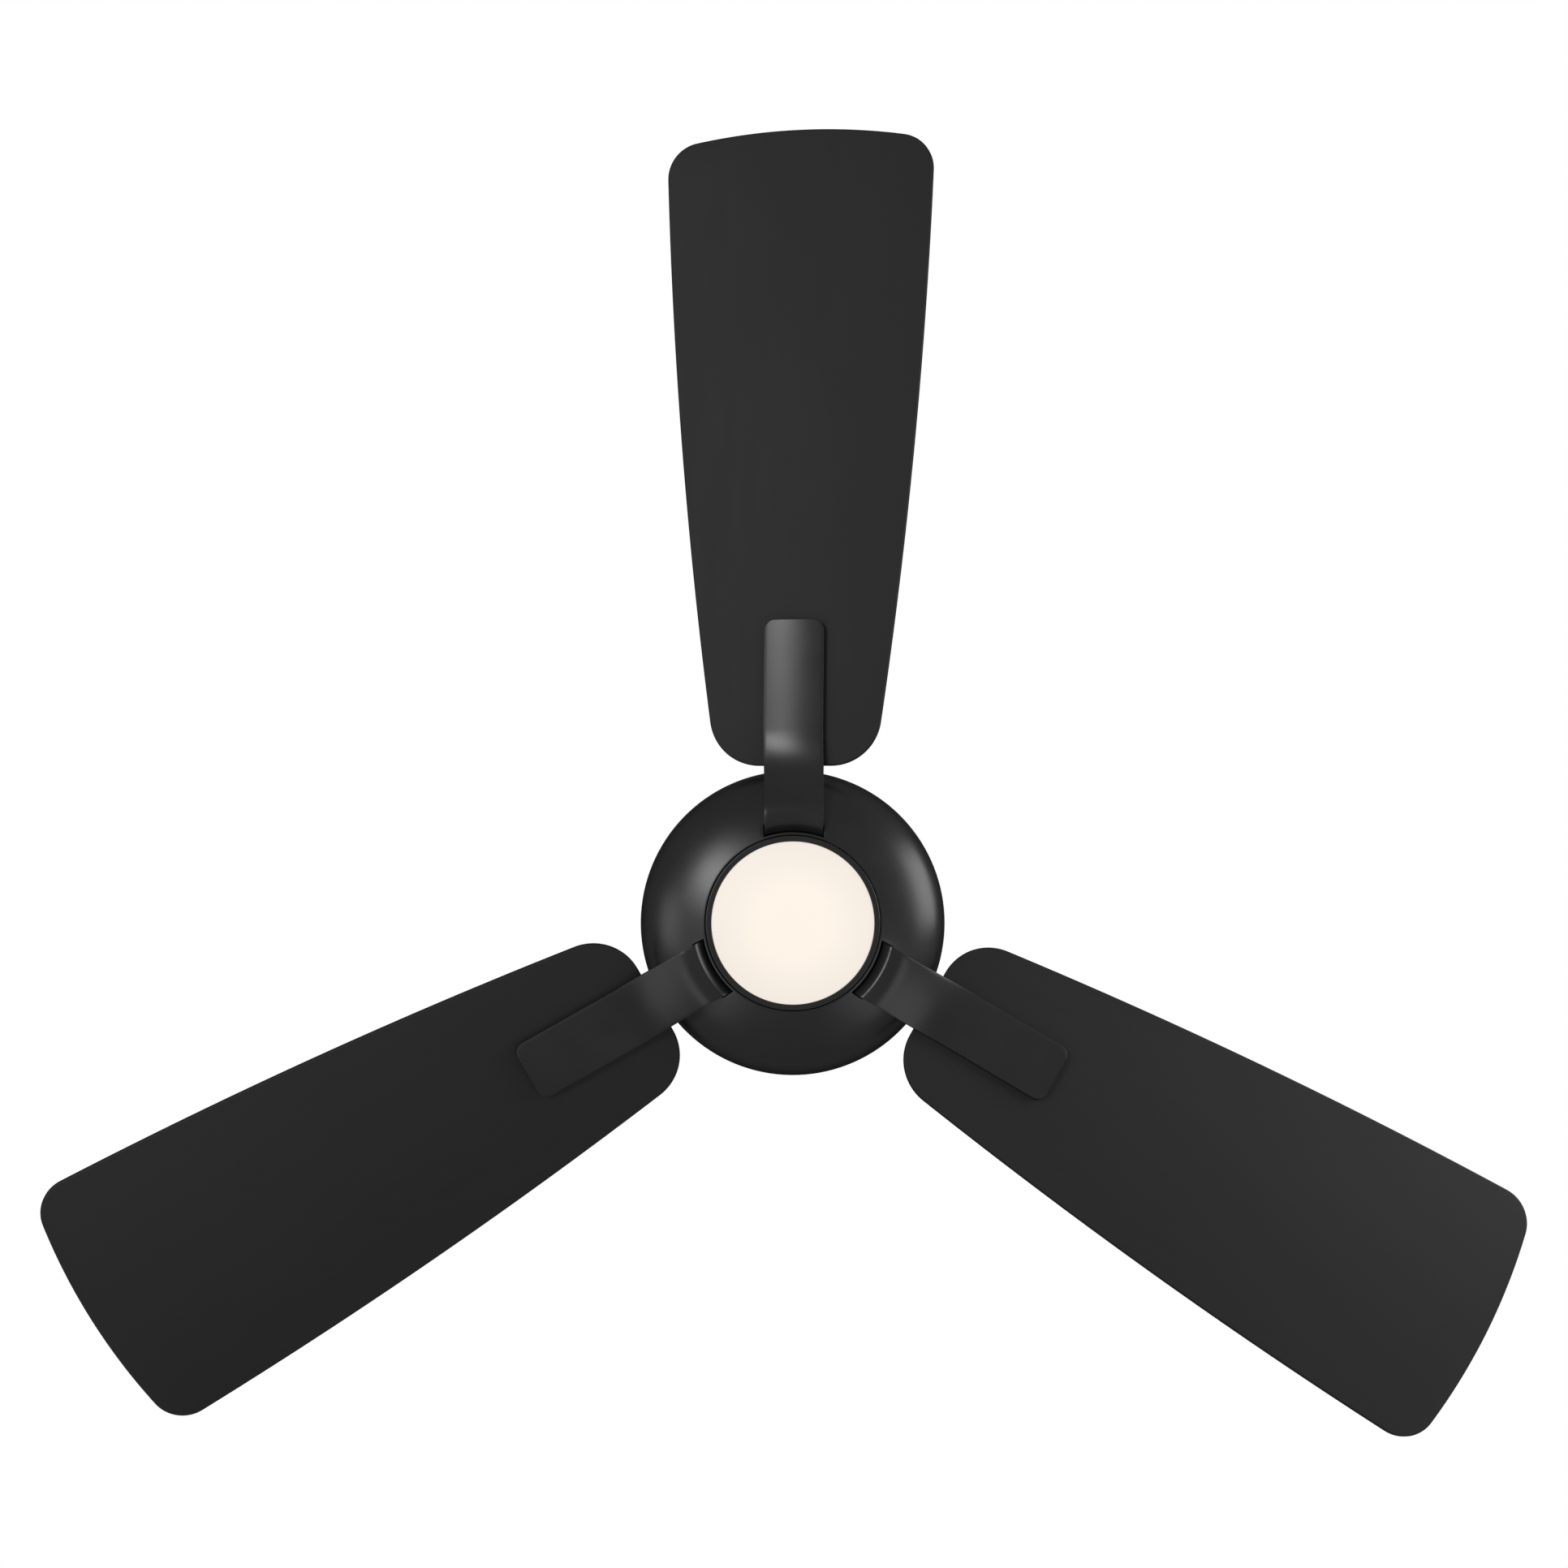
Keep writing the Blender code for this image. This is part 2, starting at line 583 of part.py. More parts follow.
def motor_coupling(pivot):
    """Socket that takes the downrod above and the motor shaft below, with its two screws."""
    socket = ROD_RADIUS + GAP
    shaft_hole = SHAFT_RADIUS + GAP
    profile = [
        (COUPLING_RADIUS, COUPLING_TOP_Z),
        (COUPLING_RADIUS, COUPLING_FLANGE_Z),
        (COUPLING_FLANGE_RADIUS, COUPLING_FLANGE_Z),
        (COUPLING_FLANGE_RADIUS, COUPLING_BOTTOM_Z),
        (shaft_hole, COUPLING_BOTTOM_Z),
        (shaft_hole, ROD_BOTTOM_Z - GAP),
        (socket, ROD_BOTTOM_Z - GAP),
        (socket, COUPLING_TOP_Z),
    ]
    obj = turned("motor_coupling", profile, MEDIUM)
    reach = COUPLING_RADIUS + WELL_CLEAR
    cut(obj, rod("pin_hole", ROD_PIN_RADIUS + GAP, (0, -reach, CLEVIS_PIN_Z), (0, reach, CLEVIS_PIN_Z)))
    screw_hole = SET_SCREW_RADIUS + SCREW_PLAY
    cut(obj, rod("screw_hole", screw_hole, (-reach, 0, CLEVIS_PIN_Z), (reach, 0, CLEVIS_PIN_Z)))
    finished(obj, DARK_STEEL, pivot)

    for number, side in enumerate((1, -1), 1):
        start = (side * (ROD_RADIUS + GAP), 0, CLEVIS_PIN_Z)
        end = (side * COUPLING_SCREW_END, 0, CLEVIS_PIN_Z)
        finished(rod(f"coupling_screw_{number}", SET_SCREW_RADIUS, start, end), DARK_STEEL, pivot)


def clevis_pin(pivot):
    """Headed pin through the coupling and the rod, and the clip through its end."""
    head_y, end_y = CLEVIS_PIN_Y
    neck_y = head_y + CLEVIS_PIN_HEAD_RADIUS / 2
    pin = rod("clevis_pin", ROD_PIN_RADIUS, (0, neck_y - GAP, CLEVIS_PIN_Z), (0, end_y, CLEVIS_PIN_Z))
    join(pin, rod("head", CLEVIS_PIN_HEAD_RADIUS, (0, head_y, CLEVIS_PIN_Z), (0, neck_y, CLEVIS_PIN_Z)))
    above, below = CLEVIS_PIN_Z + WELL_CLEAR, CLEVIS_PIN_Z - WELL_CLEAR
    cut(pin, rod("clip_hole", CLIP_WIRE_RADIUS + GAP, (0, CLIP_Y, below), (0, CLIP_Y, above), 8))
    finished(pin, ZINC_STEEL, pivot)

    leg_x = ROD_PIN_RADIUS + CLIP_WIRE_RADIUS + 2 * GAP
    bend = arc((leg_x / 2, CLEVIS_PIN_Z + 2 * ROD_PIN_RADIUS), leg_x / 2, math.pi, 0, 6)
    foot = CLEVIS_PIN_Z - 0.008
    route = [(0, foot)] + bend + [(leg_x, foot + ROD_PIN_RADIUS), (leg_x + CLIP_WIRE_RADIUS, foot)]
    clip = wire("hairpin_clip", [(x, CLIP_Y, z) for x, z in route], CLIP_WIRE_RADIUS)
    finished(clip, ZINC_STEEL, pivot)


def coupling_cover(pivot):
    """Bell over the coupling, standing on the housing."""
    reach = COVER_BOTTOM_RADIUS - COVER_TOP_RADIUS
    hole = ROD_RADIUS + 2 * GAP
    steep = math.radians(84)
    centre = (COVER_TOP_RADIUS, COUPLING_BOTTOM_Z)
    outside = ellipse_arc(centre, reach, COVER_HEIGHT, steep, 0, 5)
    inside = ellipse_arc(centre, reach - SHEET, COVER_HEIGHT - SHEET, 0, steep, 5)
    profile = [(hole, outside[0][1])] + outside + inside + [(hole, inside[-1][1])]
    finished(turned("coupling_cover", profile, MEDIUM), BLACK_SATIN, pivot)


def ellipse_arc(centre, half_width, half_height, start, end, steps):
    angles = [start + (end - start) * i / steps for i in range(steps + 1)]
    return [(centre[0] + half_width * math.cos(a), centre[1] + half_height * math.sin(a)) for a in angles]


def motor_housing(pivot):
    """Still upper shell, clamped between the coupling and a nut on the shaft."""
    rise = (HOUSING_TOP_Z - HOUSING_BOTTOM_Z) / ellipse_height(HOUSING_TOP_RADIUS, HOUSING_RADIUS, 1)
    shaft_hole = SHAFT_RADIUS + GAP
    plate_bottom = HOUSING_TOP_Z - 0.002
    outside = dome(HOUSING_TOP_RADIUS, HOUSING_RADIUS, rise, HOUSING_BOTTOM_Z, 6)
    inside = dome(HOUSING_TOP_RADIUS - SHEET, HOUSING_RADIUS - SHEET, rise - 0.002, HOUSING_BOTTOM_Z, 6)
    profile = [(shaft_hole, HOUSING_TOP_Z)] + outside + inside[::-1] + [(shaft_hole, plate_bottom)]
    finished(turned("motor_housing", profile, FINE), BLACK_SATIN, pivot)
    nut = hex_nut("housing_lock_nut", LOCK_NUT_RADIUS, shaft_hole, plate_bottom - GAP)
    finished(nut, ZINC_STEEL, pivot)


def hex_nut(name, corner_radius, hole_radius, top):
    obj = rod(name, corner_radius, (0, 0, top - NUT_HEIGHT), (0, 0, top), 6)
    cut(obj, rod("thread", hole_radius, (0, 0, top - 2 * NUT_HEIGHT), (0, 0, top + NUT_HEIGHT), COARSE))
    return obj


def motor_shaft(pivot):
    """Hollow still shaft: it carries the stator and both bearings, and the light below them."""
    top, bottom = STATOR_SEAT_Z
    thread_radius = PAN_HOLE_RADIUS - GAP
    profile = [
        (SHAFT_RADIUS, SHAFT_TOP_Z),
        (SHAFT_RADIUS, top),
        (STATOR_SEAT_RADIUS, top),
        (STATOR_SEAT_RADIUS, bottom),
        (SHAFT_RADIUS, bottom),
        (SHAFT_RADIUS, PAN_TOP_Z + GAP),
        (thread_radius, PAN_TOP_Z + GAP),
        (thread_radius, SHAFT_BOTTOM_Z),
        (SHAFT_BORE_RADIUS, SHAFT_BOTTOM_Z),
        (SHAFT_BORE_RADIUS, SHAFT_TOP_Z),
    ]
    finished(turned("motor_shaft", profile, COARSE), BEARING_STEEL, pivot)


def stator_core(pivot):
    """Laminated core with wide-tipped teeth."""
    root = math.asin(TOOTH_HALF_WIDTH / YOKE_RADIUS)
    neck = math.asin(TOOTH_HALF_WIDTH / SHOE_RADIUS)
    tooth = [(YOKE_RADIUS, -root), (SHOE_RADIUS, -neck), (SHOE_RADIUS, -SHOE_HALF_ANGLE)]
    tooth += [(CORE_RADIUS, SHOE_HALF_ANGLE * across) for across in (-1, 0, 1)]
    tooth += [(SHOE_RADIUS, SHOE_HALF_ANGLE), (SHOE_RADIUS, neck), (YOKE_RADIUS, root)]
    outline = []
    for number in range(CORE_SLOTS):
        turn = number * 2 * math.pi / CORE_SLOTS
        outline += [(r * math.cos(a + turn), r * math.sin(a + turn)) for r, a in tooth]
    core = prism("stator_core", outline, CORE_BOTTOM_Z, CORE_TOP_Z)
    bore = STATOR_SEAT_RADIUS + GAP
    below, above = CORE_BOTTOM_Z - WELL_CLEAR, CORE_TOP_Z + WELL_CLEAR
    cut(core, rod("bore", bore, (0, 0, below), (0, 0, above), COARSE))
    finished(core, DARK_STEEL, pivot)


def stator_winding(pivot):
    """The coils as one ring of copper with a tunnel for each tooth."""
    inner, outer = WINDING_RADII
    rounding = 0.003
    profile = [
        (outer - rounding, WINDING_TOP_Z),
        (outer, WINDING_TOP_Z - rounding),
        (outer, WINDING_BOTTOM_Z + rounding),
        (outer - rounding, WINDING_BOTTOM_Z),
        (inner + rounding, WINDING_BOTTOM_Z),
        (inner, WINDING_BOTTOM_Z + rounding),
        (inner, WINDING_TOP_Z - rounding),
        (inner + rounding, WINDING_TOP_Z),
    ]
    coils = turned("stator_winding", profile, MEDIUM)
    half = TOOTH_HALF_WIDTH + GAP
    for number in range(CORE_SLOTS // 2):
        low, high = (-CORE_RADIUS, -half, CORE_BOTTOM_Z - GAP), (CORE_RADIUS, half, CORE_TOP_Z + GAP)
        bar = block("two_teeth", low, high)
        bar.rotation_euler = (0, 0, number * 2 * math.pi / CORE_SLOTS)
        cut(coils, bar)
    finished(coils, COPPER_WIRE, pivot)


def bearing_race(name, inner, outer, top):
    bottom = top - BEARING_WIDTH
    edge = 0.0006
    profile = [
        (outer, top - edge),
        (outer, bottom + edge),
        (outer - edge, bottom),
        (inner, bottom),
        (inner, top),
        (outer - edge, top),
    ]
    return turned(name, profile, COARSE)


def bearings(still_pivot, turning_pivot):
    """Two ball bearings, each an inner race on the shaft and an outer race in the rotor."""
    for place, top in (("upper", UPPER_BEARING_Z), ("lower", LOWER_BEARING_Z)):
        inner = bearing_race(f"bearing_{place}_inner", SHAFT_RADIUS + GAP, RACE_RADII[0], top)
        outer = bearing_race(f"bearing_{place}_outer", RACE_RADII[1], BEARING_RADIUS, top)
        finished(inner, BEARING_STEEL, still_pivot)
        finished(outer, BEARING_STEEL, turning_pivot)


def light_pan(pivot):
    """Pan under the motor, held by a nut on the shaft, with a shelf that the LED board hangs from."""
    wall = PAN_RADIUS - SHEET
    profile = [
        (PAN_RADIUS, PAN_TOP_Z),
        (PAN_RADIUS, PAN_BOTTOM_Z),
        (wall, PAN_BOTTOM_Z),
        (wall, SHELF_Z - SHEET),
        (SHELF_RADIUS, SHELF_Z - SHEET),
        (SHELF_RADIUS, SHELF_Z),
        (wall, SHELF_Z),
        (wall, PAN_TOP_Z - SHEET),
        (PAN_HOLE_RADIUS, PAN_TOP_Z - SHEET),
        (PAN_HOLE_RADIUS, PAN_TOP_Z),
    ]
    finished(turned("light_pan", profile, MEDIUM), WHITE_BOARD, pivot)
    nut = hex_nut("shaft_nut", SHAFT_NUT_RADIUS, PAN_HOLE_RADIUS, PAN_TOP_Z - SHEET - GAP)
    finished(nut, ZINC_STEEL, pivot)


def lamp_electronics(pivot):
    """LED driver, and the round board with its ring of LEDs on the underside."""
    length, width = DRIVER_HALF_SIZE
    driver = block("led_driver", (-length, -width, DRIVER_BOTTOM_Z), (length, width, DRIVER_TOP_Z))
    bevelled(driver, 0.001)
    finished(driver, WHITE_PLASTIC, pivot)

    bottom = BOARD_TOP_Z - BOARD_THICKNESS
    edge = [(0, BOARD_TOP_Z), (BOARD_RADIUS, BOARD_TOP_Z), (BOARD_RADIUS, bottom), (0, bottom)]
    board = turned("led_board", edge, MEDIUM)
    for number in range(LED_COUNT):
        low = (LED_CIRCLE_RADIUS - LED_HALF_SIZE, -LED_HALF_SIZE, bottom - LED_HEIGHT)
        led = block("led", low, (LED_CIRCLE_RADIUS + LED_HALF_SIZE, LED_HALF_SIZE, bottom + GAP))
        led.rotation_euler = (0, 0, 2 * math.pi * number / LED_COUNT)
        join(board, led)
    finished(board, WHITE_BOARD, pivot)


def trim_ring_and_lens(pivot):
    """Ring that clips over the pan, and the opal lens whose flange it holds."""
    chamfer = 0.0008
    flange_top = LENS_FLANGE_Z[1] - 0.0004
    pan_clearance = PAN_RADIUS + 0.0004
    profile = [
        (TRIM_RADIUS, TRIM_TOP_Z),
        (TRIM_RADIUS, TRIM_BOTTOM_Z + chamfer),
        (TRIM_RADIUS - chamfer, TRIM_BOTTOM_Z),
        (TRIM_INNER_RADIUS + chamfer / 2, TRIM_BOTTOM_Z),
        (TRIM_INNER_RADIUS, TRIM_BOTTOM_Z + chamfer / 2),
        (TRIM_INNER_RADIUS, flange_top),
        (pan_clearance, flange_top),
        (pan_clearance, TRIM_TOP_Z),
    ]
    finished(turned("light_trim_ring", profile, FINE), BLACK_SATIN, pivot)

    flange_top_z, flange_bottom_z = LENS_FLANGE_Z
    inner_radius = LENS_RADIUS - LENS_WALL
    steps = 4
    inside = [(r, lens_face(r) + LENS_WALL) for r in (inner_radius * i / steps for i in range(steps + 1))]
    outside = [(r, lens_face(r)) for r in (LENS_RADIUS * i / steps for i in range(steps, -1, -1))]
    profile = inside + [
        (inner_radius, flange_top_z),
        (LENS_FLANGE_RADIUS, flange_top_z),
        (LENS_FLANGE_RADIUS, flange_bottom_z),
        (LENS_RADIUS, flange_bottom_z),
    ]
    finished(turned("lens", profile + outside, FINE), OPAL, pivot)


def lens_face(radius):
    """Height of the lens's outer face: a shallow dome."""
    return LENS_EDGE_Z - LENS_SAG * (1 - (radius / LENS_RADIUS) ** 2)


# Pieces that turn

def rotor_case(pivot):
    """Cup round the magnets, with the upper bearing's seat, and the ring of magnets in it."""
    seat = BEARING_RADIUS + GAP
    boss_z, plate_z, corner_z = CASE_SHOULDER_Z
    corner = CASE_RADIUS - 0.0065
    profile = [
        (SHAFT_EYE_RADIUS, CASE_BOSS_TOP_Z),
        (CASE_BOSS_RADIUS, CASE_BOSS_TOP_Z),
        (CASE_BOSS_RADIUS, boss_z),
        (corner, plate_z),
        (CASE_RADIUS, corner_z),
        (CASE_RADIUS, CASE_BOTTOM_Z),
        (CASE_WALL_RADIUS, CASE_BOTTOM_Z),
        (CASE_WALL_RADIUS, corner_z - CASE_PLATE / 2),
        (corner - CASE_PLATE / 2, plate_z - CASE_PLATE),
        (seat, boss_z - CASE_PLATE),
        (seat, UPPER_BEARING_Z + GAP),
        (SHAFT_EYE_RADIUS, UPPER_BEARING_Z + GAP),
    ]
    finished(turned("rotor_case", profile, MEDIUM), CAST_ALUMINIUM, pivot)
    outer = CASE_WALL_RADIUS - GAP
    top, bottom = MAGNET_Z
    magnets = [(outer, top), (outer, bottom), (MAGNET_INNER_RADIUS, bottom), (MAGNET_INNER_RADIUS, top)]
    finished(turned("magnet_ring", magnets, MEDIUM), FERRITE, pivot)


def rotor_base(pivot):
    """Thick base plate under the case: the arms and the bowl are screwed to it."""
    seat = BEARING_RADIUS + GAP
    spigot_inner, spigot_outer = SPIGOT_RADII
    boss_top, boss_bottom = BASE_BOSS_Z
    bearing_bottom = LOWER_BEARING_Z - BEARING_WIDTH - GAP
    profile = [
        (spigot_outer, SPIGOT_TOP_Z),
        (spigot_outer, BASE_TOP_Z),
        (BASE_RADIUS, BASE_TOP_Z),
        (BASE_RADIUS, BASE_BOTTOM_Z),
        (BASE_BOSS_RADIUS, BASE_BOTTOM_Z),
        (BASE_BOSS_RADIUS, boss_bottom),
        (SHAFT_EYE_RADIUS, boss_bottom),
        (SHAFT_EYE_RADIUS, bearing_bottom),
        (seat, bearing_bottom),
        (seat, boss_top),
        (BASE_BOSS_RADIUS, boss_top),
        (BASE_BOSS_RADIUS, BASE_TOP_Z),
        (spigot_inner, BASE_TOP_Z),
        (spigot_inner, SPIGOT_TOP_Z),
    ]
    base = turned("rotor_base", profile, MEDIUM)
    below = BASE_BOTTOM_Z - WELL_CLEAR
    for angle in blade_angles():
        for spot in ARM_SCREW_SPOTS:
            x, y = spin(spot, angle)
            hole = ARM_SCREW[2] + SCREW_PLAY
            cut(base, rod("arm_screw_hole", hole, (x, y, below), (x, y, ARM_SCREW_HOLE_TOP_Z), 12))
    for angle in boss_angles():
        x, y = spin((BOSS_CIRCLE_RADIUS, 0), angle)
        hole = BOWL_SCREW[2] + SCREW_PLAY
        cut(base, rod("bowl_screw_hole", hole, (x, y, below), (x, y, BASE_TOP_Z + WELL_CLEAR), 12))
    finished(base, CAST_ALUMINIUM, pivot)


def blade_angles():
    return [FIRST_BLADE_ANGLE + i * BLADE_STEP for i in range(BLADE_COUNT)]


def boss_angles():
    return [angle + BLADE_STEP / 2 for angle in blade_angles()]


def spin(point, angle):
    u, v = point
    return u * math.cos(angle) - v * math.sin(angle), u * math.sin(angle) + v * math.cos(angle)


def bowl_surface(radius):
    return BOWL_EQUATOR_Z - ellipse_height(radius, BOWL_RADIUS, BOWL_DEPTH)


def bowl(pivot):
    """Shallow bowl with a slot for each arm, a lip round the light, and screw bosses inside."""
    steps = 7
    outside = dome(BOWL_HOLE_RADIUS, BOWL_RADIUS, -BOWL_DEPTH, BOWL_EQUATOR_Z, steps)
    inside = dome(BOWL_LIP_RADIUS, BOWL_RADIUS - BOWL_WALL, BOWL_WALL - BOWL_DEPTH, BOWL_EQUATOR_Z, steps)
    profile = [(BOWL_RADIUS, BOWL_RIM_Z)] + outside[::-1]
    profile += [(BOWL_HOLE_RADIUS, BOWL_LIP_Z), (BOWL_LIP_RADIUS, BOWL_LIP_Z)]
    profile += inside + [(BOWL_RADIUS - BOWL_WALL, BOWL_RIM_Z)]
    obj = turned("bowl", profile, FINE)
    bake(obj)
    for angle in boss_angles():
        join(obj, bowl_boss(angle))
        x, y = spin((BOSS_CIRCLE_RADIUS, 0), angle)
        start, end = (x, y, BOSS_THREAD_BOTTOM_Z), (x, y, BASE_BOTTOM_Z + WELL_CLEAR)
        cut(obj, rod("thread", BOWL_SCREW[2] + SCREW_PLAY, start, end))
    for angle in blade_angles():
        lowest = BOWL_EQUATOR_Z - BOWL_DEPTH
        slot = prism("slot", slot_outline(), lowest, BOWL_LIP_Z + WELL_CLEAR / 2)
        slot.rotation_euler = (0, 0, angle)
        cut(obj, slot)
    finished(obj, BLACK_SATIN, pivot)


def bowl_boss(angle):
    """Post from the middle of the bowl's wall up to the base."""
    x, y = spin((BOSS_CIRCLE_RADIUS, 0), angle)
    top = BASE_BOTTOM_Z - GAP
    boss = rod("boss", BOSS_RADIUS, (x, y, BOSS_THREAD_BOTTOM_Z), (x, y, top))
    for vertex in boss.data.vertices:
        if vertex.co.z < (BOSS_THREAD_BOTTOM_Z + top) / 2:
            radius = math.hypot(vertex.co.x, vertex.co.y)
            vertex.co.z = bowl_surface(radius) + BOWL_WALL * 0.6
    return boss


def slot_outline():
    """Slot concentric with the light, with straight ends the arm's width apart."""
    inner, outer = SLOT_RADII
    inner_angle = math.asin(SLOT_HALF_WIDTH / inner)
    outer_angle = math.asin(SLOT_HALF_WIDTH / outer)
    return arc((0, 0), outer, -outer_angle, outer_angle, 6) + arc((0, 0), inner, inner_angle, -inner_angle, 6)


def smooth(value, low, high):
    """0 below low, 1 above high, with a smooth rise between."""
    t = min(1.0, max(0.0, (value - low) / (high - low)))
    return t * t * (3 - 2 * t)


def arm_path():
    """The arm's upper face along its centre: (distance along the radius, height, heading)."""
    tab_end = ARM_LEG_RADIUS - ARM_TAB_BEND_RADIUS
    bend_z = ARM_TAB_TOP_Z - ARM_TAB_BEND_RADIUS
    quarter = math.pi / 2
    path = [(ARM_TAB_INNER_U, ARM_TAB_TOP_Z, 0.0)]
    for i in range(4):
        turn = quarter * i / 3
        u = tab_end + ARM_TAB_BEND_RADIUS * math.sin(turn)
        path.append((u, bend_z + ARM_TAB_BEND_RADIUS * math.cos(turn), -turn))
    return path + curl_path() + slope_path()


def curl_path():
    """From the leg round to level: two tight bends with a flat at 45 degrees between them."""
    first, last = ARM_CURL_RADII
    eighth = math.pi / 4
    low = (ARM_CURL_END_U, ARM_CURL_Z + last)
    u = ARM_LEG_RADIUS + first
    across = low[0] - last * math.cos(eighth) - (u - first * math.cos(eighth))
    z = low[1] - last * math.sin(eighth) + across + first * math.sin(eighth)
    return bend((u, z), first, 0, eighth, 1) + bend(low, last, eighth, 2 * eighth, 2)


def bend(centre, radius, start, end, steps):
    """Part of the curl about a centre, from straight down towards level."""
    path = []
    for i in range(steps + 1):
        turn = start + (end - start) * i / steps
        u = centre[0] - radius * math.cos(turn)
        path.append((u, centre[1] - radius * math.sin(turn), turn - math.pi / 2))
    return path


def slope_path():
    """From the curl up to the blade: the slope rises, stays and falls away again."""
    start, full, easing, end = ARM_SLOPE_U
    rise = BLADE_FACE_Z - GAP - ARM_CURL_Z
    steepest = rise / ((full - start) / 2 + (easing - full) + (end - easing) / 2)
    steps = 10
    path, height = [], ARM_CURL_Z
    for i in range(steps):
        u = start + (end - start) * (i + 1) / steps
        middle = u - (end - start) / steps / 2
        height += slope_at(middle, steepest) * (end - start) / steps
        path.append((u, height, math.atan(slope_at(u, steepest))))
    path[-1] = (end, BLADE_FACE_Z - GAP, 0.0)
    corner = ARM_END_U - ARM_END_CORNER
    for turn in (0, 30, 60, 80):
        path.append((corner + ARM_END_CORNER * math.sin(math.radians(turn)), BLADE_FACE_Z - GAP, 0.0))
    return path


def slope_at(u, steepest):
    start, full, easing, end = ARM_SLOPE_U
    return steepest * max(0.0, min(1.0, (u - start) / (full - start), (end - u) / (end - easing)))


def arm_half_width(u):
    narrow, wide = ARM_HALF_WIDTHS
    half = narrow + (wide - narrow) * smooth(u, ARM_SLOPE_U[0], ARM_SLOPE_U[3])
    into_corner = u - (ARM_END_U - ARM_END_CORNER)
    if into_corner > 0:
        half -= ARM_END_CORNER - math.sqrt(max(0.0, ARM_END_CORNER**2 - into_corner**2))
    return half


def arm_depth(v, crowned):
    """Thickness at v: an even strap, turning into a crown whose slope falls evenly across the blade."""
    wide = ARM_HALF_WIDTHS[1]
    across = v + wide
    first, last = ARM_CROWN_SLOPES
    crown = ARM_EDGE_DEPTH + first * across + (last - first) * across**2 / (4 * wide)
    return ARM_THICKNESS + (crown - ARM_THICKNESS) * crowned


def arm_section(u, z, heading, across=5):
    """Ring of points round the arm at one place on its path."""
    start, end = ARM_SLOPE_U[0], ARM_SLOPE_U[3]
    curved = 1 - smooth(u, start + 0.008, end) if u > ARM_TAB_INNER_U else 0.0
    pitched = smooth(u, start, end)
    crowned = smooth(u, start + 0.016, end)
    half = arm_half_width(u)
    spots = [half * (2 * i / (across - 1) - 1) for i in range(across)]
    ring = [(v, 0.0) for v in spots] + [(v, -arm_depth(v, crowned)) for v in reversed(spots)]
    pitch = BLADE_PITCH * pitched
    points = []
    for v, w in ring:
        side = v * math.cos(pitch) + w * math.sin(pitch)
        off = w * math.cos(pitch) - v * math.sin(pitch)
        radial = u - off * math.sin(heading)
        height = z + off * math.cos(heading)
        bowed = math.sqrt(radial**2 - side**2)
        points.append((radial + (bowed - radial) * curved, side, height))
    return points


def lofted(name, rings):
    """A closed body through rings of points, all of the same length."""
    bm = bmesh.new()
    loops = [[bm.verts.new(point) for point in ring] for ring in rings]
    count = len(loops[0])
    for near, far in zip(loops, loops[1:]):
        for i in range(count):
            j = (i + 1) % count
            bm.faces.new((near[i], near[j], far[j], far[i]))
    for end in (loops[0], loops[-1]):
        half = count // 2
        for i in range(half - 1):
            bm.faces.new((end[i], end[i + 1], end[count - 2 - i], end[count - 1 - i]))
    return mesh_object(name, bm)


def blade_frame():
    """Places the blade's own frame: u along the radius, v across, w up from its lower face."""
    return Matrix.Translation((0, 0, BLADE_FACE_Z)) @ Matrix.Rotation(-BLADE_PITCH, 4, "X")


def blade_arms(pivot):
    """Arms: screwed under the base, down through the bowl's slot, out and up under the blade."""
    pattern = lofted("pattern", [arm_section(*place) for place in arm_path()])
    frame = blade_frame()
    for u, v in BLADE_SCREW_SPOTS:
        above, inside = frame @ Vector((u, v, WELL_CLEAR)), frame @ Vector((u, v, -BLADE_SCREW_HOLE_DEPTH))
        cut(pattern, rod("screw_hole", BLADE_SCREW[2] + SCREW_PLAY, above, inside))
    for u, v in ARM_SCREW_SPOTS:
        above, below = (u, v, ARM_TAB_TOP_Z + WELL_CLEAR), (u, v, ARM_TAB_TOP_Z - WELL_CLEAR)
        cut(pattern, rod("tab_hole", ARM_SCREW[2] + SCREW_PLAY, above, below))
    for number, angle in enumerate(blade_angles(), 1):
        arm = new_object(f"blade_arm_{number}", pattern.data.copy())
        arm.rotation_euler = (0, 0, angle)
        finished(arm, BLACK_SATIN, pivot)
    bpy.data.objects.remove(pattern, do_unlink=True)


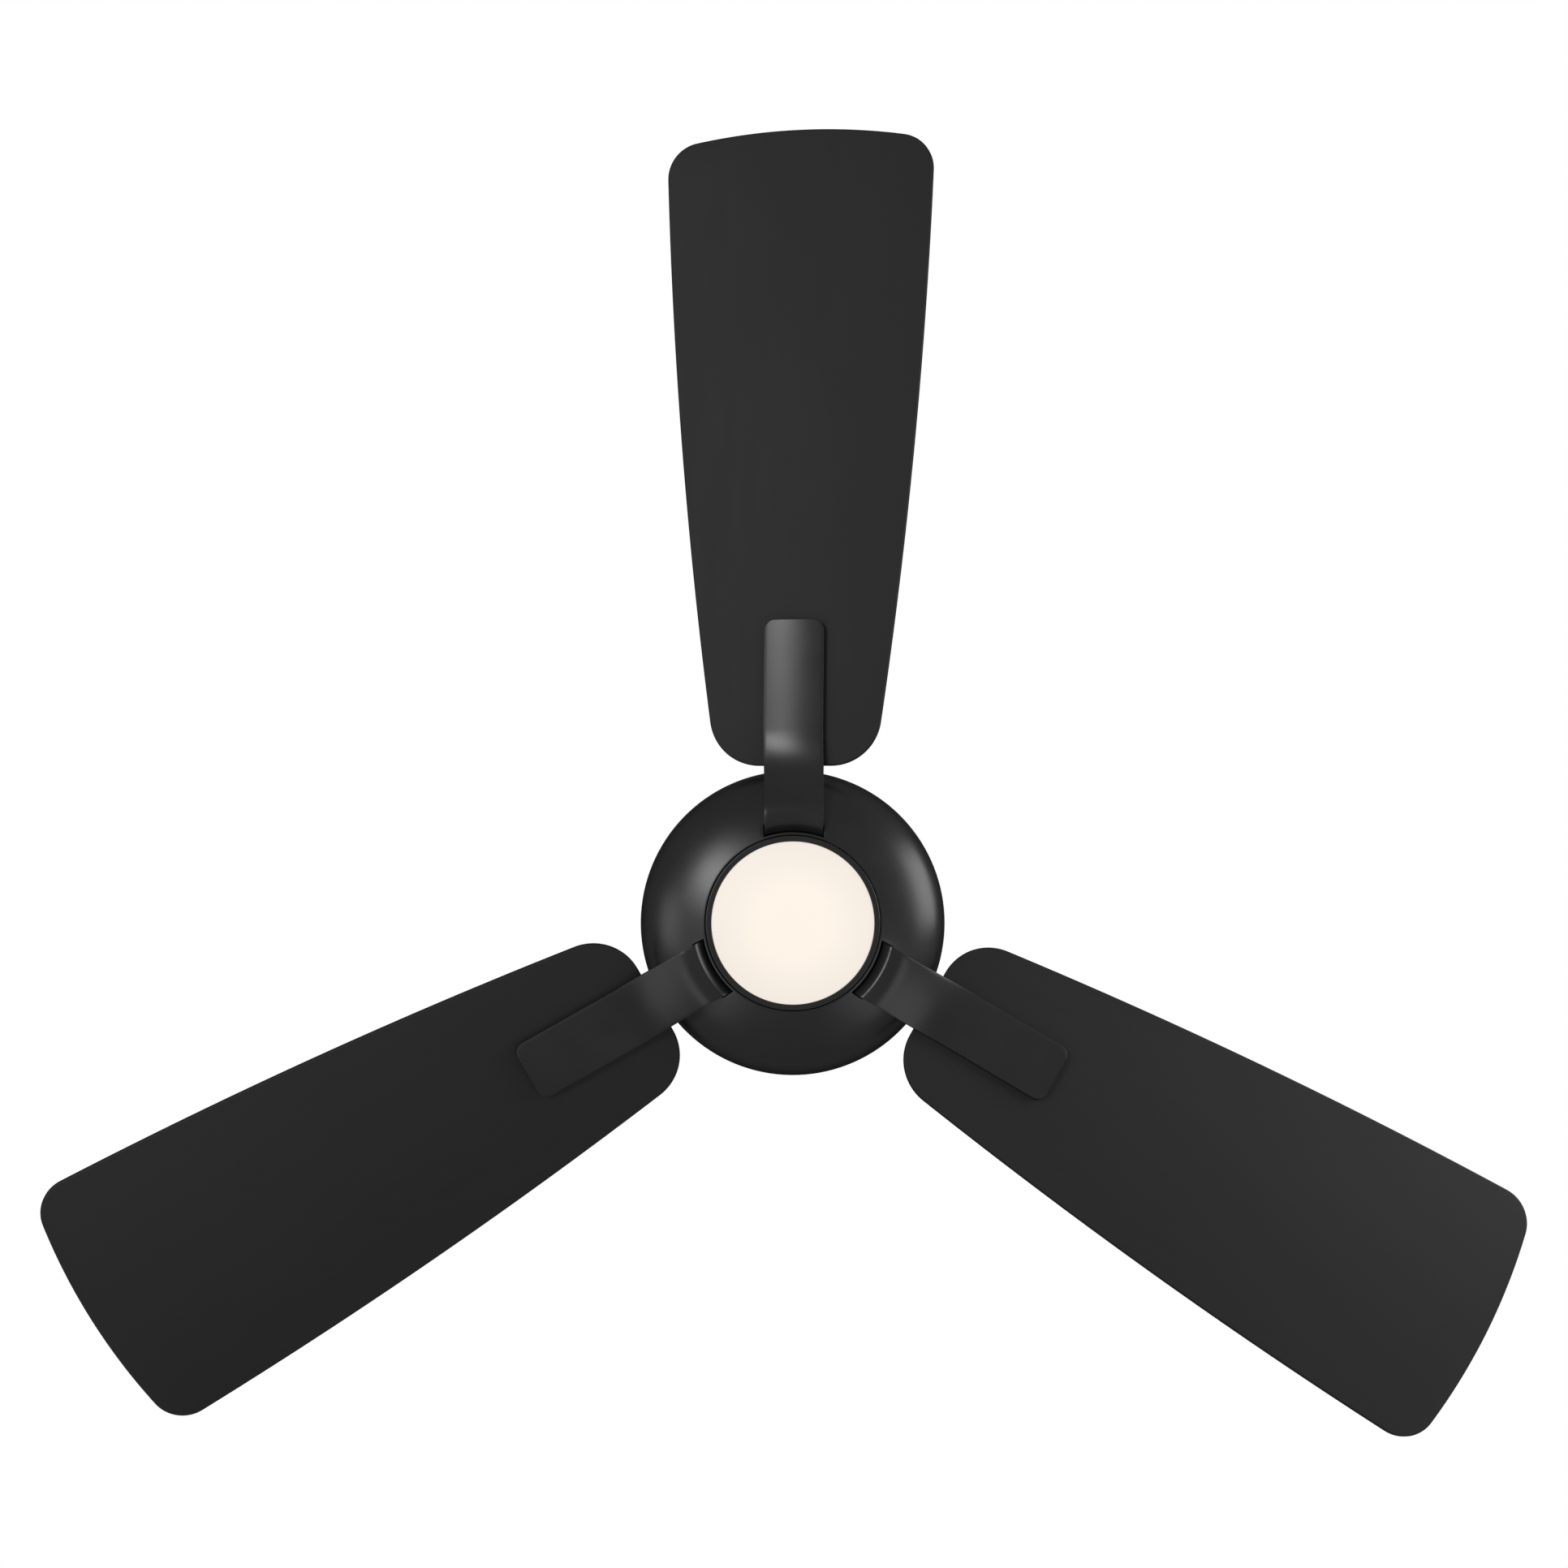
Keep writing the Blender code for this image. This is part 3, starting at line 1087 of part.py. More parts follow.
def blade_outline():
    """Outline in the blade's own plane: straight root, bowed sides and an arched tip, all corners round."""
    side_centre, side_radius = bowed_side()
    tip_centre = (BLADE_TIP_RADIUS - TIP_ARC_RADIUS, 0.0)

    root_u = BLADE_ROOT_RADIUS + ROOT_CORNER_RADIUS
    reach = side_radius - ROOT_CORNER_RADIUS
    root_v = side_centre[1] + math.sqrt(reach**2 - (root_u - side_centre[0]) ** 2)
    side_angle = math.atan2(root_v - side_centre[1], root_u - side_centre[0])
    root = arc((root_u, root_v), ROOT_CORNER_RADIUS, math.pi, side_angle, 7)

    inset_side, inset_tip = side_radius - TIP_CORNER_RADIUS, TIP_ARC_RADIUS - TIP_CORNER_RADIUS
    corner = circles_meet(side_centre, inset_side, tip_centre, inset_tip)
    side_end = math.atan2(corner[1] - side_centre[1], corner[0] - side_centre[0])
    tip_start = math.atan2(corner[1] - tip_centre[1], corner[0] - tip_centre[0])
    tip_corner = arc(corner, TIP_CORNER_RADIUS, side_end, tip_start, 6)
    side = arc(side_centre, side_radius, side_angle, side_end, 8)[1:-1]
    tip = arc(tip_centre, TIP_ARC_RADIUS, tip_start, 0, 4)[1:]

    upper = root + side + tip_corner + tip
    return upper + [(u, -v) for u, v in reversed(upper[:-1])]


def bowed_side():
    """Centre and radius of the arc through the side's two stated points."""
    (u0, v0), (u1, v1) = SIDE_INNER, SIDE_OUTER
    chord = math.hypot(u1 - u0, v1 - v0)
    radius = chord**2 / (8 * SIDE_BOW) + SIDE_BOW / 2
    along = ((u1 - u0) / chord, (v1 - v0) / chord)
    back = radius - SIDE_BOW
    return ((u0 + u1) / 2 + along[1] * back, (v0 + v1) / 2 - along[0] * back), radius


def circles_meet(centre_a, radius_a, centre_b, radius_b):
    """The point where two circles meet on the +v side."""
    across = Vector(centre_b) - Vector(centre_a)
    distance = across.length
    along = (radius_a**2 - radius_b**2 + distance**2) / (2 * distance)
    off = math.sqrt(radius_a**2 - along**2)
    foot = Vector(centre_a) + across / distance * along
    side = Vector((-across.y, across.x)) / distance * off
    return max((foot + side, foot - side), key=lambda point: point.y)


def blades(pivot):
    """Blades, pitched about their own length, with their screws driven from above."""
    pattern = prism("pattern", blade_outline(), 0, BLADE_THICKNESS)
    bevelled(pattern, BLADE_EDGE_ROUND)
    for u, v in BLADE_SCREW_SPOTS:
        below, above = (u, v, -WELL_CLEAR), (u, v, BLADE_THICKNESS + WELL_CLEAR)
        cut(pattern, rod("screw_hole", BLADE_SCREW[2] + SCREW_PLAY, below, above))
    bolt = screw("bolt", *BLADE_SCREW)
    count = 0
    for number, angle in enumerate(blade_angles(), 1):
        blade = new_object(f"blade_{number}", pattern.data.copy())
        blade.location = (0, 0, BLADE_FACE_Z)
        blade.rotation_euler = (-BLADE_PITCH, 0, angle)
        finished(blade, BLACK_MATT, pivot)
        for u, v in BLADE_SCREW_SPOTS:
            count += 1
            fastener = new_object(f"blade_screw_{count}", bolt.data.copy())
            spot = Vector((u, v, BLADE_THICKNESS + GAP))
            fastener.location = blade.location + Euler(blade.rotation_euler).to_matrix() @ spot
            fastener.rotation_euler = blade.rotation_euler
            finished(fastener, BLACK_SATIN, pivot)
    bpy.data.objects.remove(pattern, do_unlink=True)
    bpy.data.objects.remove(bolt, do_unlink=True)


def base_screws(pivot):
    """Screws that hold the arms up to the base, and screws from above that hold the bowl."""
    arm_bolt = screw("arm_bolt", *ARM_SCREW)
    count = 0
    for angle in blade_angles():
        for spot in ARM_SCREW_SPOTS:
            count += 1
            bolt = new_object(f"arm_screw_{count}", arm_bolt.data.copy())
            bolt.location = (*spin(spot, angle), ARM_TAB_TOP_Z - ARM_THICKNESS - GAP)
            bolt.rotation_euler = (math.pi, 0, 0)
            finished(bolt, ZINC_STEEL, pivot)
    bpy.data.objects.remove(arm_bolt, do_unlink=True)

    bowl_bolt = screw("bowl_bolt", *BOWL_SCREW)
    for number, angle in enumerate(boss_angles(), 1):
        bolt = new_object(f"bowl_screw_{number}", bowl_bolt.data.copy())
        bolt.location = (*spin((BOSS_CIRCLE_RADIUS, 0), angle), BASE_TOP_Z + GAP)
        finished(bolt, ZINC_STEEL, pivot)
    bpy.data.objects.remove(bowl_bolt, do_unlink=True)


def main():
    for obj in list(bpy.data.objects):
        bpy.data.objects.remove(obj, do_unlink=True)

    tilt = pivot_empty("hanger_tilt_axis", BALL_Z)
    turn = pivot_empty("rotor_spin_axis", BASE_TOP_Z)
    hang_on(turn, tilt)

    hanger_bracket()
    canopy()
    canopy_screws()
    receiver_module()

    hanger_ball(tilt)
    downrod(tilt)
    wire_harness(tilt)
    motor_coupling(tilt)
    clevis_pin(tilt)
    coupling_cover(tilt)
    motor_housing(tilt)
    motor_shaft(tilt)
    stator_core(tilt)
    stator_winding(tilt)
    bearings(tilt, turn)
    light_pan(tilt)
    lamp_electronics(tilt)
    trim_ring_and_lens(tilt)

    rotor_case(turn)
    rotor_base(turn)
    bowl(turn)
    blade_arms(turn)
    blades(turn)
    base_screws(turn)


main()
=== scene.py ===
"""Looks of the ceiling fan with a light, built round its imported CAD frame.

Metres, +Z up, in the frame's own place: the ceiling is z = 0 and the fan hangs below it. Each shell,
arm, blade and screw that can be seen is rebuilt here with finer, rounder meshes of the same size, and
the mechanism inside keeps its CAD meshes. Every piece and every CAD node gets a node material.
"""

import json
import math

import bmesh
import bpy
from mathutils import Euler, Matrix, Vector


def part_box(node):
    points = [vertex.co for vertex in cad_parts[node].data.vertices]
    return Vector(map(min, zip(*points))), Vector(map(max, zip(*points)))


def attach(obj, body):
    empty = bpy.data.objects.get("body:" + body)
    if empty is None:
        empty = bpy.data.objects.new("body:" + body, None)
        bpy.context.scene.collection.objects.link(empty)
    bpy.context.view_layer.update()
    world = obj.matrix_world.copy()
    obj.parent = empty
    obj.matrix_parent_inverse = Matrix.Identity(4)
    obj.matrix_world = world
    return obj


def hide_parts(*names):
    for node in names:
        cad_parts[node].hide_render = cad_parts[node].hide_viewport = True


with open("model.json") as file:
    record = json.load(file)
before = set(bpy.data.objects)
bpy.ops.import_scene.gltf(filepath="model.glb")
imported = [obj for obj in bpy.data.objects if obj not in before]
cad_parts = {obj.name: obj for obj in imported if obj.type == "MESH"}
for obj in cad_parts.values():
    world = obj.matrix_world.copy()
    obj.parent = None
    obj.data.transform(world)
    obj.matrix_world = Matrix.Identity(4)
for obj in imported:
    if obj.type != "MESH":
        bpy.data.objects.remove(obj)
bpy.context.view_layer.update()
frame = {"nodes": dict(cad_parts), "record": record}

# Bodies of the frame
FIXED = "ceiling_mount"
HANGING = "hanging_frame"
TURNING = "rotor"

# Camera: where it is, the point that it looks at, how it is turned about its own axis, and its lens
CAMERA_PLACE = Vector((0.0100, 0.0144, -2.7217))
CAMERA_AIM = Vector((0.0082, 0.1143, -0.3164))
CAMERA_ROLL = math.radians(0.5)
CAMERA_LENS = 67.0
SENSOR_WIDTH = 36.0

# Studio: lights are (name, azimuth, angle from straight down, distance, width, height, watts)
FLOOR_Z = -3.9
FLOOR_SIZE = 40.0
FLOOR_GLOW = 0.75
ROOM_LIGHT = 0.25
CEILING_LIGHT = 0.04
CEILING_FADE = 0.6
LIGHT_TARGET = Vector((0, 0, -0.33))
LIGHTS = (
    ("left softbox", 31.0, 34.0, 4.0, 1.2, 1.2, 47.0),
    ("side softbox", 0.0, 58.0, 2.4, 0.8, 0.8, 4.5),
    ("right softbox", 164.0, 76.0, 1.6, 0.9, 0.9, 12.0),
    ("low left softbox", 325.0, 42.0, 2.0, 1.0, 1.0, 3.0),
    ("low right softbox", 215.0, 45.0, 2.0, 1.0, 1.0, 3.4),
    ("top softbox", 70.0, 155.0, 4.0, 3.0, 3.0, 450.0),
)

# Blades and arms
BLADE_ANGLES = [math.radians(angle) for angle in (90, 210, 330)]
BLADE_PITCH = math.radians(12)
BLADE_FACE_Z = -0.3164
BLADE_THICKNESS = 0.006
BLADE_EDGE_ROUND = 0.0015
BLADE_TIP_RADIUS = 0.660
BLADE_ROOT_RADIUS = 0.1295
SIDE_INNER = (0.187, 0.0748)
SIDE_OUTER = (0.615, 0.1124)
SIDE_BOW = 0.0052
TIP_ARC_RADIUS = 0.518
TIP_CORNER_RADIUS = 0.0295
ROOT_CORNER_RADIUS = 0.042
BLADE_SCREW_SPOTS = ((0.165, -0.012), (0.165, 0.012), (0.232, 0.0))

ARM_THICKNESS = 0.0036
ARM_TAB_INNER_U = 0.046
ARM_TAB_TOP_Z = -0.3008
ARM_TAB_BEND_RADIUS = 0.0081
ARM_LEG_RADIUS = 0.0782
ARM_CURL_RADII = (0.0006, 0.0015)
ARM_CURL_END_U = 0.0842
ARM_CURL_Z = -0.3387
ARM_SLOPE_U = (0.089, 0.099, 0.122, 0.160)
ARM_STRAIGHTENS_AFTER = 0.008
ARM_CROWNS_AFTER = 0.016
ARM_END_U = 0.250
ARM_END_CORNER = 0.009
ARM_HALF_WIDTHS = (0.024, 0.025)
ARM_EDGE_DEPTH = 0.006
ARM_CROWN_SLOPES = (0.123, -0.158)
ARM_EDGE_ROUND = 0.0007
GAP = 0.0003

# Bowl
BOWL_WALL = 0.0018
BOWL_EQUATOR_Z = -0.300
BOWL_DEPTH = 0.048
BOWL_LIP_Z = -0.332
BOWL_HOLE_RADIUS = 0.0716
BOWL_EDGE_ROUND = 0.0003
SLOT_RADII = (0.0741, 0.084)
SLOT_HALF_WIDTH = 0.0248
BOSS_CIRCLE_RADIUS = 0.084
BOSS_RADIUS = 0.0045
BOSS_BOTTOM_Z = -0.3265
BOSS_BORE_RADIUS = 0.0028
BOSS_BORE_END_Z = -0.313
SHEET = 0.0015

# Canopy, rod, coupling cover and housing
CANOPY_SHOULDER = 0.0074
CANOPY_DEPTH = 0.064
CANOPY_HOLE_RADIUS = 0.0215
CANOPY_EDGE_RADIUS = 0.001
ROD_BORE_RADIUS = 0.008
COVER_SHOULDER_RADIUS = 0.012
COVER_HEIGHT = 0.056
COVER_HOLE_RADIUS = 0.01125
COVER_LAST_ANGLE = math.radians(84)
HOUSING_TOP_RADIUS = 0.038
HOUSING_HOLE_RADIUS = 0.0078
HOUSING_TOP_THICKNESS = 0.002

# Lens and its trim ring
TRIM_INNER_RADIUS = 0.0664
TRIM_PAN_RADIUS = 0.0694
TRIM_FLANGE_Z = -0.3395
LENS_RADIUS = 0.0658
LENS_WALL = 0.0025
LENS_EDGE_Z = -0.3408
LENS_FLANGE_Z = -0.3391
LENS_GLOW = 0.775
LENS_FADE_RADII = (0.030, 0.066)

# Screws: head radius and height, then shank radius and length
CANOPY_SCREW = (0.004, 0.0023, 0.002, 0.013)
BLADE_SCREW = (0.0045, 0.0025, 0.002, 0.0095)


# Mesh helpers

def mesh_piece(name, bm, material, sharp=35.0):
    """Turns a bmesh into a shaded object: smooth, but for edges sharper than the given angle."""
    bmesh.ops.remove_doubles(bm, verts=bm.verts, dist=1e-6)
    bmesh.ops.recalc_face_normals(bm, faces=bm.faces)
    mesh = bpy.data.meshes.new(name)
    bm.to_mesh(mesh)
    bm.free()
    mesh.shade_smooth()
    mesh.set_sharp_from_angle(angle=math.radians(sharp))
    piece = bpy.data.objects.new(name, mesh)
    bpy.context.scene.collection.objects.link(piece)
    mesh.materials.append(material)
    return piece


def show(piece, body, slot, *nodes):
    """The piece moves with a body and stands for the CAD nodes named, which it hides; the slot argument is
    not used.
    """
    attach(piece, body)
    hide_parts(*nodes)


def turned(name, profile, material, steps=144):
    """A closed body turned about Z from a closed outline of (radius, height)."""
    bm = bmesh.new()
    rings = []
    for radius, height in profile:
        if radius < 1e-6:
            rings.append([bm.verts.new((0, 0, height))] * steps)
            continue
        turns = [2 * math.pi * i / steps for i in range(steps)]
        rings.append([bm.verts.new((radius * math.cos(a), radius * math.sin(a), height)) for a in turns])
    for near, far in zip(rings, rings[1:] + rings[:1]):
        for i in range(steps):
            corners = [near[i], near[(i + 1) % steps], far[(i + 1) % steps], far[i]]
            corners = list(dict.fromkeys(corners))
            if len(corners) > 2:
                bm.faces.new(corners)
    return mesh_piece(name, bm, material)


def rounded(outline, segments=5):
    """Points of a closed outline of (x, y, corner radius), with each corner turned into an arc."""
    points = []
    count = len(outline)
    for i in range(count):
        here = Vector(outline[i][:2])
        radius = outline[i][2]
        if radius == 0:
            points.append(tuple(here))
            continue
        back = (Vector(outline[i - 1][:2]) - here).normalized()
        on = (Vector(outline[(i + 1) % count][:2]) - here).normalized()
        half = back.angle(on) / 2
        reach = radius / math.tan(half)
        centre = here + (back + on).normalized() * radius / math.sin(half)
        start = (here + back * reach - centre).normalized()
        end = (here + on * reach - centre).normalized()
        points += [tuple(centre + start.slerp(end, i / segments) * radius) for i in range(segments + 1)]
    return points


def arc(centre, radius, start, end, steps):
    angles = [start + (end - start) * i / steps for i in range(steps + 1)]
    return [(centre[0] + radius * math.cos(a), centre[1] + radius * math.sin(a)) for a in angles]


def ellipse(centre, half_width, half_height, start, end, steps=24):
    angles = [start + (end - start) * i / steps for i in range(steps + 1)]
    return [(centre[0] + half_width * math.cos(a), centre[1] + half_height * math.sin(a)) for a in angles]


def smooth(value, low, high):
    """0 below low, 1 above high, with a smooth rise between."""
    t = min(1.0, max(0.0, (value - low) / (high - low)))
    return t * t * (3 - 2 * t)


def applied(piece):
    """The piece with its modifiers made part of its mesh."""
    bpy.context.view_layer.update()
    evaluated = piece.evaluated_get(bpy.context.evaluated_depsgraph_get())
    mesh = bpy.data.meshes.new_from_object(evaluated)
    piece.modifiers.clear()
    piece.data = mesh
    return piece


# Materials

def node_material(name):
    material = bpy.data.materials.new(name)
    material.use_nodes = True
    nodes = material.node_tree.nodes
    coords = nodes.new("ShaderNodeTexCoord")
    return material, nodes, material.node_tree.links, nodes["Principled BSDF"], coords.outputs["Object"]


def noise(nodes, links, place, scale, detail=3.0, stretch=(1, 1, 1)):
    """Noise with cells of about 1/scale metres, stretched along an axis where its factor is small."""
    mapping = nodes.new("ShaderNodeMapping")
    mapping.inputs["Scale"].default_value = stretch
    texture = nodes.new("ShaderNodeTexNoise")
    texture.inputs["Scale"].default_value = scale
    texture.inputs["Detail"].default_value = detail
    links.new(place, mapping.inputs["Vector"])
    links.new(mapping.outputs["Vector"], texture.inputs["Vector"])
    return texture.outputs["Fac"]


def blend_colours(nodes, links, share, dark, light):
    """Colour ramp from dark to light over the middle of a noise's range."""
    ramp = nodes.new("ShaderNodeValToRGB")
    ramp.color_ramp.elements[0].position = 0.3
    ramp.color_ramp.elements[0].color = (*dark, 1)
    ramp.color_ramp.elements[1].position = 0.7
    ramp.color_ramp.elements[1].color = (*light, 1)
    links.new(share, ramp.inputs["Fac"])
    return ramp.outputs["Color"]


def spread(nodes, links, share, low, high):
    """Map the middle of a noise's range to low..high."""
    mapped = nodes.new("ShaderNodeMapRange")
    mapped.inputs["From Min"].default_value = 0.3
    mapped.inputs["From Max"].default_value = 0.7
    mapped.inputs["To Min"].default_value = low
    mapped.inputs["To Max"].default_value = high
    links.new(share, mapped.inputs["Value"])
    return mapped.outputs["Result"]


def relief(nodes, links, height, depth, shader):
    """Bump of a depth in metres."""
    bump = nodes.new("ShaderNodeBump")
    bump.inputs["Strength"].default_value = 1.0
    bump.inputs["Distance"].default_value = depth
    links.new(height, bump.inputs["Height"])
    links.new(bump.outputs["Normal"], shader.inputs["Normal"])
    return bump


def finish(name, dark, light, rough, metallic=0.0, mottle=30.0, grain=900.0, depth=4e-6, stretch=(1, 1, 1),
           specular=0.5):
    """Surface with mottled colour, uneven gloss and a fine raised grain."""
    material, nodes, links, shader, place = node_material(name)
    shader.inputs["Metallic"].default_value = metallic
    shader.inputs["Specular IOR Level"].default_value = specular
    patches = noise(nodes, links, place, mottle, 4.0, stretch)
    fine = noise(nodes, links, place, grain, 2.0, stretch)
    links.new(blend_colours(nodes, links, patches, dark, light), shader.inputs["Base Color"])
    links.new(spread(nodes, links, patches, *rough), shader.inputs["Roughness"])
    relief(nodes, links, fine, depth, shader)
    return material


def opal_lens():
    """Opal diffuser lit from inside: warm white, a little dimmer towards its edge."""
    material, nodes, links, shader, place = node_material("opal")
    shader.inputs["Base Color"].default_value = (0.30, 0.29, 0.27, 1)
    shader.inputs["Roughness"].default_value = 0.35
    shader.inputs["Emission Strength"].default_value = LENS_GLOW
    flat = nodes.new("ShaderNodeVectorMath")
    flat.operation = "MULTIPLY"
    flat.inputs[1].default_value = (1, 1, 0)
    links.new(place, flat.inputs[0])
    distance = nodes.new("ShaderNodeVectorMath")
    distance.operation = "LENGTH"
    links.new(flat.outputs["Vector"], distance.inputs[0])
    falloff = nodes.new("ShaderNodeMapRange")
    falloff.inputs["From Min"].default_value = LENS_FADE_RADII[0]
    falloff.inputs["From Max"].default_value = LENS_FADE_RADII[1]
    links.new(distance.outputs["Value"], falloff.inputs["Value"])
    ramp = nodes.new("ShaderNodeValToRGB")
    ramp.color_ramp.elements[0].color = (1.0, 0.895, 0.785, 1)
    ramp.color_ramp.elements[1].color = (0.885, 0.80, 0.72, 1)
    links.new(falloff.outputs["Result"], ramp.inputs["Fac"])
    links.new(ramp.outputs["Color"], shader.inputs["Emission Color"])
    relief(nodes, links, noise(nodes, links, place, 700.0), 2e-6, shader)
    return material


def layered(name, dark, light, rough, metallic, pitch, depth, axis):
    """Stacked sheets or wound wire: fine bands of the given pitch along an axis."""
    material, nodes, links, shader, place = node_material(name)
    shader.inputs["Metallic"].default_value = metallic
    bands = nodes.new("ShaderNodeTexWave")
    bands.bands_direction = axis
    bands.inputs["Scale"].default_value = math.tau / (20 * pitch)
    bands.inputs["Distortion"].default_value = 0.6
    bands.inputs["Detail Scale"].default_value = 40.0
    links.new(place, bands.inputs["Vector"])
    links.new(blend_colours(nodes, links, bands.outputs["Fac"], dark, light), shader.inputs["Base Color"])
    patches = noise(nodes, links, place, 60.0)
    links.new(spread(nodes, links, patches, *rough), shader.inputs["Roughness"])
    relief(nodes, links, bands.outputs["Fac"], depth, shader)
    return material


def all_materials():
    """One material for each finish slot of the record."""
    return {
        "black_satin": finish("black_satin", (0.0145, 0.0145, 0.0150), (0.0175, 0.0175, 0.0180),
                              (0.28, 0.32), grain=700.0, depth=3e-6),
        "blade_black": finish("blade_black", (0.0092, 0.0092, 0.0095), (0.0108, 0.0108, 0.0111),
                              (0.59, 0.63), mottle=90.0, grain=1500.0, depth=8e-6, stretch=(0.12, 1, 1),
                              specular=0.38),
        "zinc": finish("zinc", (0.42, 0.43, 0.45), (0.60, 0.61, 0.62), (0.28, 0.46), 1.0,
                       mottle=120.0, depth=6e-6),
        "dark_steel": finish("dark_steel", (0.07, 0.07, 0.075), (0.12, 0.12, 0.125), (0.38, 0.55), 1.0,
                             mottle=150.0, depth=6e-6),
        "cast_aluminium": finish("cast_aluminium", (0.42, 0.43, 0.44), (0.56, 0.57, 0.58), (0.40, 0.60), 1.0,
                                 mottle=200.0, grain=1200.0, depth=3e-5),
        "bearing_steel": finish("bearing_steel", (0.55, 0.55, 0.56), (0.66, 0.66, 0.67), (0.08, 0.18), 1.0,
                                mottle=300.0, grain=2500.0, depth=1e-6, stretch=(1, 1, 8)),
        "copper": layered("copper", (0.30, 0.09, 0.03), (0.62, 0.24, 0.10), (0.25, 0.40), 1.0,
                          0.0009, 1.5e-4, "Z"),
        "ferrite": finish("ferrite", (0.035, 0.035, 0.038), (0.060, 0.060, 0.064), (0.60, 0.80),
                          mottle=250.0, grain=1800.0, depth=2e-5),
        "black_plastic": finish("black_plastic", (0.022, 0.022, 0.022), (0.034, 0.034, 0.034),
                                (0.42, 0.56), mottle=60.0, grain=1600.0, depth=1.2e-5),
        "white_plastic": finish("white_plastic", (0.68, 0.68, 0.66), (0.76, 0.76, 0.74), (0.40, 0.52),
                                mottle=60.0, grain=1600.0, depth=8e-6),
        "white_paint": finish("white_paint", (0.74, 0.74, 0.72), (0.80, 0.80, 0.78), (0.45, 0.58),
                              mottle=50.0, grain=900.0, depth=1e-5),
        "opal": opal_lens(),
    }


# Pieces fixed to the ceiling

def canopy(black):
    """Spun cup against the ceiling, with a rolled edge at its rim and round its hole."""
    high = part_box("canopy")[1]
    radius, top = high.x, high.z
    shoulder = (0, top - CANOPY_SHOULDER)
    hole = CANOPY_HOLE_RADIUS + CANOPY_EDGE_RADIUS
    last = math.acos(hole / radius)
    outside = ellipse(shoulder, radius, -CANOPY_DEPTH, 0, last, 32)
    inside = ellipse(shoulder, radius - SHEET, SHEET - CANOPY_DEPTH, last, 0, 32)
    lip = (outside[-1][1] + inside[0][1]) / 2
    half_lip = (inside[0][1] - outside[-1][1]) / 2
    rim = ellipse((radius - SHEET / 2, top - SHEET / 2), SHEET / 2, SHEET / 2, math.pi, 0, 6)
    edge = ellipse((hole, lip), CANOPY_EDGE_RADIUS, half_lip, -math.pi / 2, -1.5 * math.pi, 6)
    profile = rim + outside + edge[1:-1] + inside
    piece = turned("canopy_shell", profile, black)
    show(piece, FIXED, "black_satin", "canopy")


def canopy_screw_heads(black):
    """Two screws in the canopy's sides, driven towards the rod."""
    for number, side in enumerate((1, -1), 1):
        node = f"canopy_screw_{number}"
        low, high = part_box(node)
        tip = high.x if side > 0 else low.x
        seat = tip - side * CANOPY_SCREW[1]
        facing = Euler((0, side * math.pi / 2, 0)).to_matrix().to_4x4()
        place = Matrix.Translation((seat, 0, (low.z + high.z) / 2)) @ facing
        piece = cross_head_screw(f"canopy_screw_head_{number}", *CANOPY_SCREW, black)
        piece.matrix_world = place
        show(piece, FIXED, "black_satin", node)


def cross_head_screw(name, radius, height, shank_radius, shank_length, material):
    """Pan head with a domed top, a cross recess sunk in it, and a plain shank pointing down."""
    dome = ellipse((0, height * 0.45), radius, height * 0.55, 0, math.pi / 2, 10)
    foot = [(shank_radius, 0.0), (radius - 0.0002, 0.0), (radius, 0.0002)]
    shank = [
        (0.0, -shank_length),
        (shank_radius * 0.7, -shank_length),
        (shank_radius, -shank_length + 0.0006),
    ]
    piece = turned(name, shank + foot + dome[:-1] + [(0.0, height)], material, 48)
    cross = bmesh.new()
    for turn in (0, math.pi / 2):
        size = Matrix.Diagonal((radius * 1.15, radius * 0.26, height * 0.9, 1))
        place = Matrix.Translation((0, 0, height)) @ Matrix.Rotation(turn, 4, "Z") @ size
        bmesh.ops.create_cube(cross, size=1, matrix=place)
    cutter_mesh = bpy.data.meshes.new("cross")
    cross.to_mesh(cutter_mesh)
    cross.free()
    cutter = bpy.data.objects.new("cross", cutter_mesh)
    bpy.context.scene.collection.objects.link(cutter)
    recess = piece.modifiers.new("recess", "BOOLEAN")
    recess.object = cutter
    recess.operation = "DIFFERENCE"
    recess.solver = "EXACT"
    recess.use_self = True
    applied(piece)
    piece.data.set_sharp_from_angle(angle=math.radians(30))
    bpy.data.objects.remove(cutter, do_unlink=True)
    return piece


# Pieces that hang from the ball

def downrod(black):
    low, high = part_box("downrod")
    radius, bore = high.x, ROD_BORE_RADIUS
    outline = [(radius, high.z, 0.0006), (radius, low.z, 0.0006), (bore, low.z, 0), (bore, high.z, 0)]
    piece = turned("downrod_tube", rounded(outline), black, 96)
    show(piece, HANGING, "black_satin", "downrod")


def coupling_cover(black):
    """Bell over the coupling, with a flat top round the rod."""
    low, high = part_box("coupling_cover")
    shoulder = (COVER_SHOULDER_RADIUS, low.z)
    reach = high.x - COVER_SHOULDER_RADIUS
    hole = COVER_HOLE_RADIUS
    outside = ellipse(shoulder, reach, COVER_HEIGHT, COVER_LAST_ANGLE, 0, 32)
    inside = ellipse(shoulder, reach - SHEET, COVER_HEIGHT - SHEET, 0, COVER_LAST_ANGLE, 32)
    profile = [(hole, outside[0][1])] + outside + inside + [(hole, inside[-1][1])]
    piece = turned("coupling_bell", profile, black)
    show(piece, HANGING, "black_satin", "coupling_cover")


